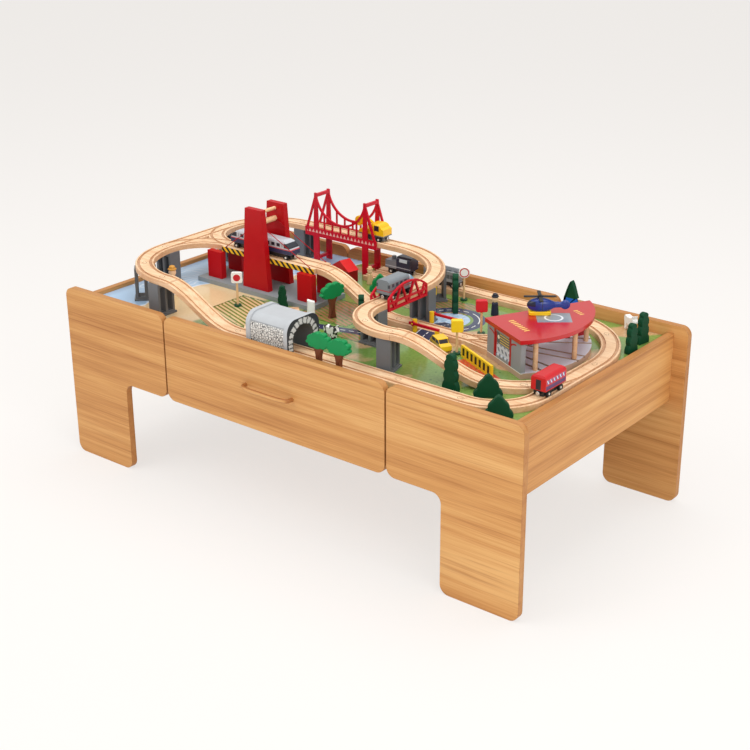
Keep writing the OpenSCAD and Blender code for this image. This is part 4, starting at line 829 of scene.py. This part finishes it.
def turned(profile, starts, axes, sides=20):
    # lathe: each profile point (out along the axis, radius) is carried round each axis in equal steps
    out, radius = np.array(profile).T[..., None, None]
    starts, axes = [np.array(rows, float)[:, None, None] for rows in (starts, axes)]
    side = np.cross(axes, (0.0, 0.0, 1.0))
    angle = circle(sides)[:, None]
    around = side * np.cos(angle) + np.cross(axes, side) * np.sin(angle)
    return starts + axes * out + around * radius


handleLook = {
    "long": 0.124, "out": 0.0185, "wide": 0.0037, "high": 0.0045, "points": 81, "root": 0.004,
    "square": 0.42, "sides": 20, "bend": 50}


def drawerHandles():
    # bar pull: half a squared oval in plan, where cosine and sine are raised to a small power; both ends
    # in the face
    h = handleLook
    along, out = squared(np.linspace(0.0, np.pi, h["points"]), h["square"])
    out = out * (h["out"] + h["root"]) - h["root"]
    wood = oak("handleOak", 0, 1, 1.0)
    for side, sign in (("front", -1), ("rear", 1)):
        low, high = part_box(side + "_drawer_handle")
        face = high.y if sign < 0 else low.y
        level = np.full_like(out, (low.z + high.z) / 2)
        path = np.column_stack([-along * h["long"] / 2, face + sign * out, level])
        verts = sweep(path[None], h["wide"], h["high"], h["sides"])
        pull = makePiece(side + "DrawerPull", verts, grid(verts), side + "_drawer", "oak", wood)
        smooth(pull, h["bend"])
        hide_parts(side + "_drawer_handle")


cordLook = {
    "radius": 0.0009, "core": 0.82, "swell": 0.2, "pitch": 0.0052, "set": 0.012, "edge": 0.0018,
    "dowelDrop": 0.035, "dowel": 0.0055, "knot": 0.9, "knotLong": 0.0016, "rings": 220, "sides": 15,
    "bend": 60}


def bridgeCords():
    # three-strand cord: the radius swells three times round, turned on by the distance along; a knot at
    # the deck
    c = cordLook
    low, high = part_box("cable_bridge_deck")
    towerLow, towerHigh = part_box("cable_bridge_towers")
    feet = np.array([(x, y, high.z) for x in (low.x + c["set"], high.x - c["set"])
                     for y in (low.y + c["edge"], high.y - c["edge"])])
    axes = np.array(((towerLow.x + towerHigh.x) / 2, 0.0, towerHigh.z - c["dowelDrop"])) - feet
    axes[:, 1] = 0.0
    length = np.linalg.norm(axes, axis=1, keepdims=True)
    axes /= length
    angle = circle(c["sides"])
    far = (np.linspace(0.0, 1.0, c["rings"]) * (length - c["dowel"]))[..., None]
    strand = np.abs(np.cos(1.5 * (angle - 2 * np.pi * far / c["pitch"])))
    knot = 1 + c["knot"] * np.exp(-((far - c["knotLong"]) / c["knotLong"]) ** 2)
    radius = c["radius"] * (c["core"] + c["swell"] * strand) * knot
    side = np.array((0.0, 1.0, 0.0))
    around = np.cos(angle)[:, None] * side + np.sin(angle)[:, None] * np.cross(axes, side)[:, None]
    verts = feet[:, None, None] + far[..., None] * axes[:, None, None] + radius[..., None] * around[:, None]
    cords = makePiece("twistedCords", verts, grid(verts), "table", "cord",
                      coat("cordRed", redLook["cord"], 0.7, 0.7, shine=0.2))
    smooth(cords, c["bend"])
    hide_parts("bridge_cords")


keyLook = {
    "head": 0.0052, "reach": 0.0088, "neck": 0.0018, "start": 0.0005, "neckPoints": 4, "points": 33,
    "half": 0.00035, "tall": 0.00016, "sides": 6, "trackHalf": 0.02, "shade": rgb(112, 74, 46)}


def jointSpots():
    # place, to a tenth of a millimetre, and facing of each track joint; a bend has a level, a centre, a
    # radius and joints at some angles, each with its facing in degrees; a straight has a level, its place
    # across the table, and joints that face right and joints that face left
    half = keyLook["trackHalf"]
    low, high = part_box("ground_track")
    front, back, right = low.y + half, high.y - half, high.x - half
    low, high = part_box("raised_track")
    left, rear = low.x + half, high.y - half
    deck = middle("cable_bridge_deck").y
    bends = [(railTop, -0.0495, front + 0.1, 0.1, [(175, 265), (215, 125)]),
             (railTop, right - 0.1, front + 0.1, 0.1, [(-90, 180), (0, 90)]),
             (railTop, right - 0.2, back - 0.2, 0.2, [(0, 270), (45, 135), (90, 180)]),
             (railTop, 0.3888, -0.0149, 0.1407, [(-75, 15), (-48, 222)]),
             (raisedTop, left + 0.1595, -0.088, 0.1595, [(180, 270), (225, 315), (270, 180)]),
             (raisedTop, left + 0.126, 0.112, 0.126, [(180, 90), (135, 45), (90, 180)]),
             (raisedTop, -0.0939, rear - 0.2, 0.2, [(90, 180), (45, 135), (0, 90)]),
             (raisedTop, 0.2061, -0.106, 0.1, [(180, 90), (232.5, 322), (285, 195)])]
    straights = [(railTop, front, [-0.1445, -0.0495, 0.1102, 0.2698], []), (railTop, 0.206, [], [-0.0872]),
                 (railTop, back, [0.1], [0.2148, -0.0872]), (railTop, deck, [0.07], [0.1317, 0.255]),
                 (raisedTop, rear, [-0.236], []), (raisedTop, deck, [], [-0.404, -0.13])]
    spots = []
    for level, x, y, radius, joints in bends:
        for angle, facing in joints:
            turn = math.radians(angle)
            spots.append((x + radius * math.cos(turn), y + radius * math.sin(turn), level, facing))
    for level, y, rightward, leftward in straights:
        spots += [(x, y, level, 0) for x in rightward] + [(x, y, level, 180) for x in leftward]
    spots = np.array(spots)
    spots[:, :2] = spots[:, :2].round(4)
    return spots


def jointKeys():
    # keyhole of each track joint: two neck lines and an arc round the head, carried to the joint and turned
    k = keyLook
    gap = math.asin(k["neck"] / k["head"])
    arc = np.linspace(np.pi - gap, gap - np.pi, k["points"])
    head = np.column_stack([k["reach"] + k["head"] * np.cos(arc), k["head"] * np.sin(arc)])
    along = np.linspace(k["start"], head[0, 0], k["neckPoints"], endpoint=False)
    neck = np.column_stack([along, np.full_like(along, k["neck"])])
    long, wide = np.concatenate([neck, head, neck[::-1] * (1, -1)]).T
    x, y, level, turn = jointSpots().T[..., None]
    turn = np.radians(turn)
    paths = np.stack([x + long * np.cos(turn) - wide * np.sin(turn),
                      y + long * np.sin(turn) + wide * np.cos(turn), level.repeat(len(long), 1)], -1)
    verts = sweep(paths, k["half"], k["tall"], k["sides"])
    shade = coat("keyShade", k["shade"], 0.7, 0.7, shine=0.1)
    makePiece("jointKeys", verts, grid(verts), "table", "beech", shade)


couplerLook = {
    "rise": 0.0053, "inset": 0.0055, "stub": 0.0022, "disc": 0.0040, "out": 0.0078, "edge": 0.0005,
    "thick": 0.0027, "dish": (0.0012, 0.0010), "dishDeep": 0.0004, "floorTall": 0.012, "bend": 40,
    "steel": rgb(176, 178, 182), "bright": rgb(214, 216, 220), "scratch": 700.0}


def bodyEnds(name, long):
    # both ends of a vehicle's floor: the furthest points of its lowest part along the track
    vertices = nodes[name + "_body"].data.vertices
    points = np.empty(len(vertices) * 3)
    vertices.foreach_get("co", points)
    points = points.reshape(-1, 3)
    floor = points[points[:, 2] < points[:, 2].min() + couplerLook["floorTall"]]
    return floor[:, long].min(), floor[:, long].max()


def couplers():
    # black stub with a bright magnet disc at both ends of each vehicle
    c = couplerLook
    black = coat("couplerBlack", blackLook["moulded"], 0.8, 0.4)
    steel = Finish("magnetSteel", Metallic=1.0)
    scratch = steel.noise(c["scratch"], 2.0)
    steel.set(Base_Color=steel.mix(scratch, c["steel"], c["bright"]), Roughness=scratch * 0.15 + 0.24)
    back, out, narrow = c["out"] - c["thick"], c["out"], c["disc"] - c["edge"]
    dish, dishFloor = c["dish"]
    profile = [(0.0, c["stub"]), (back, c["stub"]), (back, narrow), (back + c["edge"], c["disc"]),
               (out - c["edge"], c["disc"]), (out, narrow), (out, dish), (out - c["dishDeep"], dishFloor)]
    for name in ("express", "coach", "hopper", "shunter", "streamliner", "crane"):
        long = rollAxis(name + "_wheels_a")
        axes, starts = np.zeros((2, 3)), np.array([middle(name + "_body")] * 2)
        axes[:, long] = (-1, 1)
        starts[:, long] = bodyEnds(name, long) - axes[:, long] * c["inset"]
        starts[:, 2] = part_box(name + "_body")[0].z + c["rise"]
        verts = turned(profile, starts, axes)
        ends = makePiece(name + "Couplers", verts, grid(verts), name, "silver", black, steel)
        paintBands(ends, verts, np.arange(len(profile) - 1) > 1)
        smooth(ends, c["bend"])


def cutOut(outlines, spots, thick, rim=0.0016):
    # board cut to an outline: the outline drawn in towards its own normal on the outer rings, so the rims
    # are round
    ahead = np.roll(outlines, -1, 1) - np.roll(outlines, 1, 1)
    normal = np.stack([ahead[..., 1], -ahead[..., 0]], -1) / np.linalg.norm(ahead, axis=2, keepdims=True)
    inset = np.array((1.0, 0.3, 0.0, 0.0, 0.3, 1.0)) * rim
    level = np.array((0.0, 0.3, 1.0, -1.0, -0.3, 0.0)) * rim + thick / 2 * np.array((-1, -1, -1, 1, 1, 1))
    flat = outlines[:, None] - inset[:, None, None] * normal[:, None]
    x, y, turn = np.array(spots)[:, :3].T[..., None, None]
    turn, level = np.radians(turn), level[:, None]
    return np.stack([x * boardHigh.x + flat[..., 0] * np.cos(turn) - level * np.sin(turn),
                     y * boardHigh.y + flat[..., 0] * np.sin(turn) + level * np.cos(turn),
                     playZ + flat[..., 1].clip(0.0)], -1)


# spots: shares of the board along and across, turn and height; the outlines are in shares of the height
treeLook = {
    "thick": 0.012, "trunkShare": 0.8, "half": 60, "bend": 20, "bright": rgb(8, 140, 76),
    "dark": rgb(3, 70, 42), "blue": rgb(24, 98, 196), "trunkBrown": rgb(116, 60, 32), "lobes": 4.5,
    "lobeDeep": 0.18, "crown": (0.37, 0.27, 0.7), "crownFlat": 0.62, "crownLean": 0.25,
    "column": (0.175, 0.07, 0.05, 0.04), "tier": (0.30, 0.16, 0.09), "dome": (0.6, 0.88, 0.16),
    "trunk": (0.062, 0.04, 0.15), "trunkTall": 0.62, "tip": 0.004,
    "crowns": [(0.199, -0.957, 0, 0.080), (0.29, -0.957, 0, 0.078), (-0.103, -0.15, 75, 0.080)],
    "columns": [(0.067, -0.21, -51, 0.076), (0.226, 0.505, -51, 0.084), (0.963, 0.773, 80, 0.066),
        (0.978, 0.568, 80, 0.062), (-0.326, -0.218, 39, 0.050), (0.673, -0.714, 0, 0.074)],
    "tiered": [(0.597, 0.967, 0, 0.075)],
    "darkBushes": [(0.802, -0.653, 39, 0.046), (0.925, -0.879, 37, 0.045)],
    "brightBushes": [(-0.148, 0.513, 39, 0.040)]}


def trees():
    # a lobed oval, flatter below, on a flared trunk, a wavy column, two stacked tiers and a dome; all but
    # the oval are a half width over the height
    t = treeLook
    rise = np.linspace(0.0, 1.0, t["half"])

    def upright(half, top=1.0):  # the half width, and its mirror image on the way down
        return np.column_stack([np.append(half, -half[::-1]), np.append(rise, rise[::-1]) * top])

    angle = circle(2 * t["half"])
    lobe = 1 - t["lobeDeep"] + t["lobeDeep"] * np.abs(np.cos(t["lobes"] * angle + 0.5)) ** 0.55
    wide, high, level = t["crown"]
    tall = high * lobe * np.sin(angle) * np.where(np.sin(angle) < 0, t["crownFlat"], 1.0)
    crown = np.column_stack([wide * lobe * np.cos(angle) + t["crownLean"] * tall, level + tall])
    end = np.sqrt(1 - rise ** 14) + t["tip"]
    foot, taper, wave, flare = t["column"]
    bulge = np.abs(np.sin(3.5 * np.pi * rise)) ** 0.6
    column = upright((foot - taper * rise + wave * bulge + flare * (1 - rise) ** 6) * end)
    foot, taper, step = t["tier"]
    tier = upright((foot - taper * (2 * rise % 1.0) - step * (rise > 0.5)) * end)
    foot, least, swell = t["dome"]
    bulge = least + swell * np.abs(np.sin(2.5 * np.pi * rise))
    dome = upright(foot * (1 - rise ** 1.6) ** 0.8 * bulge + t["tip"])
    waist, flare, fork = t["trunk"]
    trunk = upright(waist + flare * (1 - rise) ** 4 + fork * rise ** 5, t["trunkTall"])
    rows = [(crown, t["crowns"], 0, 1.0), (trunk, t["crowns"], 1, t["trunkShare"]),
            (column, t["columns"], 2, 1.0), (tier, t["tiered"], 3, 1.0), (dome, t["darkBushes"], 2, 1.0),
            (dome, t["brightBushes"], 0, 1.0)]
    verts = np.concatenate([cutOut(shape * np.array(spots)[:, 3, None, None], spots, t["thick"] * thick)
                            for shape, spots, paint, thick in rows])
    fir = coat("firPaint", t["dark"], 0.7, 0.55, shine=0.2)
    printOn(fir, (fir.xyz()[2].below(playZ + t["tiered"][0][3] / 2), t["blue"]))
    piece = makePiece("treeCutOuts", verts, grid(verts), "table", "green",
                      coat("leafPaint", t["bright"], 0.8, 0.5, shine=0.25),
                      coat("trunkPaint", t["trunkBrown"], 0.8, 0.6),
                      coat("hedgePaint", t["dark"], 0.7, 0.55, shine=0.2), fir)
    paintBands(piece, verts, np.array([[paint] for shape, spots, paint, thick in rows for spot in spots]))
    smooth(piece, t["bend"])
    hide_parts("trees")


fenceLook = {
    "spot": (0.619, -0.284, -27), "long": 0.119, "low": 0.0035, "high": 0.0215, "thick": 0.003,
    "points": 80, "square": 0.08}


def fencePanel():
    # dark panel behind the pickets: a squared oval, where cosine and sine are raised to a small power
    p = fenceLook
    outline = squared(circle(p["points"], 0.5), p["square"]).T * (p["long"] / 2, (p["high"] - p["low"]) / 2)
    outline[:, 1] += (p["low"] + p["high"]) / 2
    verts = cutOut(outline[None], [p["spot"]], p["thick"])
    makePiece("fencePanel", verts, grid(verts), "table", "black", coat("panelBlack", blackLook["panel"]))


def rounded(corners, points, near=3):
    # outline through some corners in equal steps, each point then the mean of its neighbours
    closed = np.array(corners + corners[:1])
    far = np.append(0.0, np.cumsum(np.linalg.norm(np.diff(closed, axis=0), axis=1)))
    steps = np.linspace(0.0, far[-1], points, endpoint=False)
    outline = np.column_stack([np.interp(steps, far, closed[:, i]) for i in (0, 1)])
    return np.mean([np.roll(outline, shift, 0) for shift in range(-near, near + 1)], 0)


def loft(centres, first, second, square, sides):
    # squared oval round each centre: its half axes times cosine and sine, each raised to a power
    cosine, sine = squared(circle(sides, 0.5), square)[..., None]
    return centres[:, None] + first[:, None] * cosine + second[:, None] * sine


def helicopter():
    # hull: cabin dome, boom and tail disc along the craft, joined by a smooth largest value; a mast and a
    # float block
    c = craftLook
    turn = math.radians(padLook["turn"])
    fore, across, up = np.array(((math.cos(turn), math.sin(turn), 0.0),
                                 (-math.sin(turn), math.cos(turn), 0.0), (0.0, 0.0, 1.0)))[:, None]
    foot = np.array((*at(*padLook["craft"]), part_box("helicopter_body")[0].z))
    ease = (1 - np.cos(np.linspace(0.0, np.pi, c["rings"])[:, None])) / 2
    u = c["nose"] + (c["end"] - c["nose"]) * ease
    front, back, tail = [(1 - (far / long) ** 2).clip(0.0) for far, long in
                         ((u, c["nose"]), (u, c["back"]), (u - c["finAt"], c["fin"]))]
    dome = np.where(u < 0, np.sqrt(front), back)
    boom = np.where((u > 0) & (u < c["boomEnd"]), c["boom"] - c["taper"] * u / c["boomEnd"], 0.0)
    disc = np.sqrt(tail)

    def joined(*parts):  # smooth largest value of some half sizes, never quite nought
        return sum(p ** c["blend"] for p in parts) ** (1 / c["blend"]) + c["least"]

    high = joined(c["cabin"] * dome, boom, c["fin"] * disc)
    wide = joined(c["wide"] * c["cabin"] * dome, c["slim"] * boom, c["finHalf"] * disc ** c["finRound"])
    hull = loft(foot + fore * u + up * c["rise"], across * wide, up * high, c["hullSquare"], c["sides"])
    bottom, top, thin = c["mast"]
    level = bottom + (top - bottom) * ease
    radius = np.full_like(level, thin)
    mast = loft(foot + up * level, fore * radius, across * radius, 1.0, c["sides"])
    tall, long, broad = c["float"]
    level = tall * ease
    inset = c["rim"] - np.minimum(np.minimum(level, tall - level), c["rim"])
    block = loft(foot + up * level, fore * (long - inset), across * (broad - inset), c["floatSquare"],
                 c["sides"])
    verts = np.stack([hull, mast, block])
    yellow = coat("floatYellow", c["yellow"], 0.9, 0.4, 0.1)
    black = coat("mastBlack", blackLook["moulded"], 0.8, 0.45)
    piece = makePiece("helicopterHull", verts, grid(verts), "table", "blue", craftBlue, black, yellow)
    paintBands(piece, verts, np.arange(3)[:, None])
    smooth(piece, c["bend"])
    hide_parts("helicopter_body")


bucketLook = {
    "ahead": 0.0455, "rise": 0.0354, "radius": 0.0115, "half": 0.0042, "rim": 0.001, "pin": 0.0046,
    "proud": 0.0005, "yellow": rgb(250, 190, 14), "orange": rgb(214, 138, 14), "bend": 40}


def craneBucket():
    # thick disc on the end of the jib with a darker pin through it, both turned about an axis across the
    # track
    b = bucketLook
    spot = (middle("crane_wheels_a") + middle("crane_wheels_b")) / 2
    start = (spot.x - b["ahead"], spot.y, raisedTop + b["rise"])
    half, far, rim, pin = b["half"], b["half"] + b["proud"], b["radius"] - b["rim"], b["pin"] - b["proud"]
    inner = half - b["rim"]
    profiles = [[(-half, rim), (-inner, b["radius"]), (inner, b["radius"]), (half, rim)],
                [(-far, pin), (-half, b["pin"]), (half, b["pin"]), (far, pin)]]
    verts = np.concatenate([turned(profile, [start], [(0, 1, 0)]) for profile in profiles])
    piece = makePiece("craneBucket", verts, grid(verts), "crane", "yellow",
                      coat("bucketYellow", b["yellow"], 0.88, 0.34, 0.3), coat("pinOrange", b["orange"]))
    paintBands(piece, verts, np.arange(2)[:, None])
    smooth(piece, b["bend"])


def figures():
    # two animals and a stone cut from board; peg people whose radius follows a profile over the height
    p = figureLook
    animal, stone = rounded(p["animal"], p["points"]), rounded(p["stone"], p["points"], 2)
    tall = np.array(p["boards"])[:, 3, None, None]
    boards = cutOut(np.stack([animal, animal, stone]) * tall, p["boards"], p["thick"], p["rim"])
    level = np.linspace(0.0, 1.0, p["rings"])[:, None]
    radius = np.interp(level, p["rise"], p["radius"]) * p["slim"]
    ahead, across, up = np.eye(3)[:, None]
    pegs = np.stack([loft(np.array((*at(x, y), playZ)) + up * level * tall, ahead * radius * tall,
                          across * radius * tall, 1.0, p["sides"]) for x, y, tall, *colors in p["pegs"]])
    verts = np.concatenate([boards.reshape(-1, 3), pegs.reshape(-1, 3)])
    faces = grid(boards) + grid(pegs, boards.size // 3)
    piece = makePiece("figureBodies", verts, faces, "table", "white", figureCoat)
    smooth(piece, p["bend"])
    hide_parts("figures")


drawerHandles()
bridgeCords()
figures()
helicopter()
craneBucket()
jointKeys()
couplers()
trees()
fencePanel()
print("handles, cords, track joints, couplers, trees, fence, helicopter, bucket and figures made")

# lamps: place, power and size
stageLook = {
    "paper": rgb(248, 245, 242), "shade": rgb(240, 236, 232), "size": 14.0, "world": 0.7, "plain": 0.72,
    "aim": (0.0, 0.0, 0.35), "lamps": {"key": ((-1.5, -2.4, 3.2), 46.0, 2.4),
    "fill": ((2.8, -1.4, 2.0), 42.0, 2.2), "top": ((0.2, 0.5, 3.2), 48.0, 2.6)}}


def setPose(holder, axes, spot):  # puts a lamp or camera in the scene with its axes as columns
    pose = np.eye(4)
    pose[:3, :3] = np.column_stack(axes)
    pose[:3, 3] = spot
    holder.matrix_world = Matrix(pose.tolist())
    bpy.context.scene.collection.objects.link(holder)


def lamp(name, spot, power, size):
    data = bpy.data.lights.new(name, "AREA")
    data.energy, data.size = power, size
    aim = np.array(spot) - stageLook["aim"]
    aim /= np.linalg.norm(aim)
    side = np.cross((0, 0, 1.0), aim)
    side /= np.linalg.norm(side)
    setPose(bpy.data.objects.new(name, data), [side, np.cross(aim, side), aim], spot)


def studio():
    # pale paper floor that keeps a soft shadow, and a world of the same paper tone; what the camera, a
    # mirror or glass sees of the floor is mostly plain paper
    s = stageLook
    f = Finish("floorPaper", Roughness=0.9)
    f.set(Base_Color=f.mix(f.noise(3.0) * 0.1, s["paper"], s["shade"]))
    glow = f.node("ShaderNodeEmission", None, {0: s["paper"], 1: 1.0})
    rays = ("Is Camera Ray", "Is Glossy Ray", "Is Transmission Ray")
    camera, mirror, glass = [f.node("ShaderNodeLightPath", output=ray) for ray in rays]
    both = f.node("ShaderNodeMixShader", None, {0: camera.top(mirror).top(glass) * s["plain"],
                                                1: Wire(f, f.shader.outputs[0]), 2: glow})
    f.tree.links.new(both.socket, f.tree.nodes["Material Output"].inputs[0])
    corners = [(x * s["size"], y * s["size"], 0) for x, y in ((-1, -1), (1, -1), (1, 1), (-1, 1))]
    mesh = bpy.data.meshes.new("floor")
    mesh.from_pydata(corners, [], [(0, 1, 2, 3)])
    mesh.materials.append(f.mat)
    ground = bpy.data.objects.new("floor", mesh)
    bpy.context.scene.collection.objects.link(ground)
    world = bpy.data.worlds.new("studio")
    world.use_nodes = True
    back = world.node_tree.nodes["Background"]
    back.inputs[0].default_value = s["paper"]
    back.inputs[1].default_value = s["world"]
    bpy.context.scene.world = world
    for name, (spot, power, size) in s["lamps"].items():
        lamp(name, spot, power, size)


# focal length and width of the photograph in pixels; turns about x, y and z
cameraLook = {
    "focal": 1444.3, "pixels": 750, "sensor": 36.0, "spot": (1.8107, -2.2251, 1.4282),
    "turn": (2.0606, 0.6167, 0.2938)}


def setCamera():
    # the turn takes the table's axes to right, down and forward of the view
    c = cameraLook
    right, down, forward = np.array(Euler(c["turn"]).to_matrix())
    data = bpy.data.cameras.new("camera")
    data.sensor_width, data.lens = c["sensor"], c["focal"] / c["pixels"] * c["sensor"]
    camera = bpy.data.objects.new("camera", data)
    setPose(camera, [right, -down, -forward], c["spot"])
    bpy.context.scene.camera = camera


studio()
setCamera()
bpy.context.scene.view_settings.view_transform = "Standard"
print("stage and camera set")
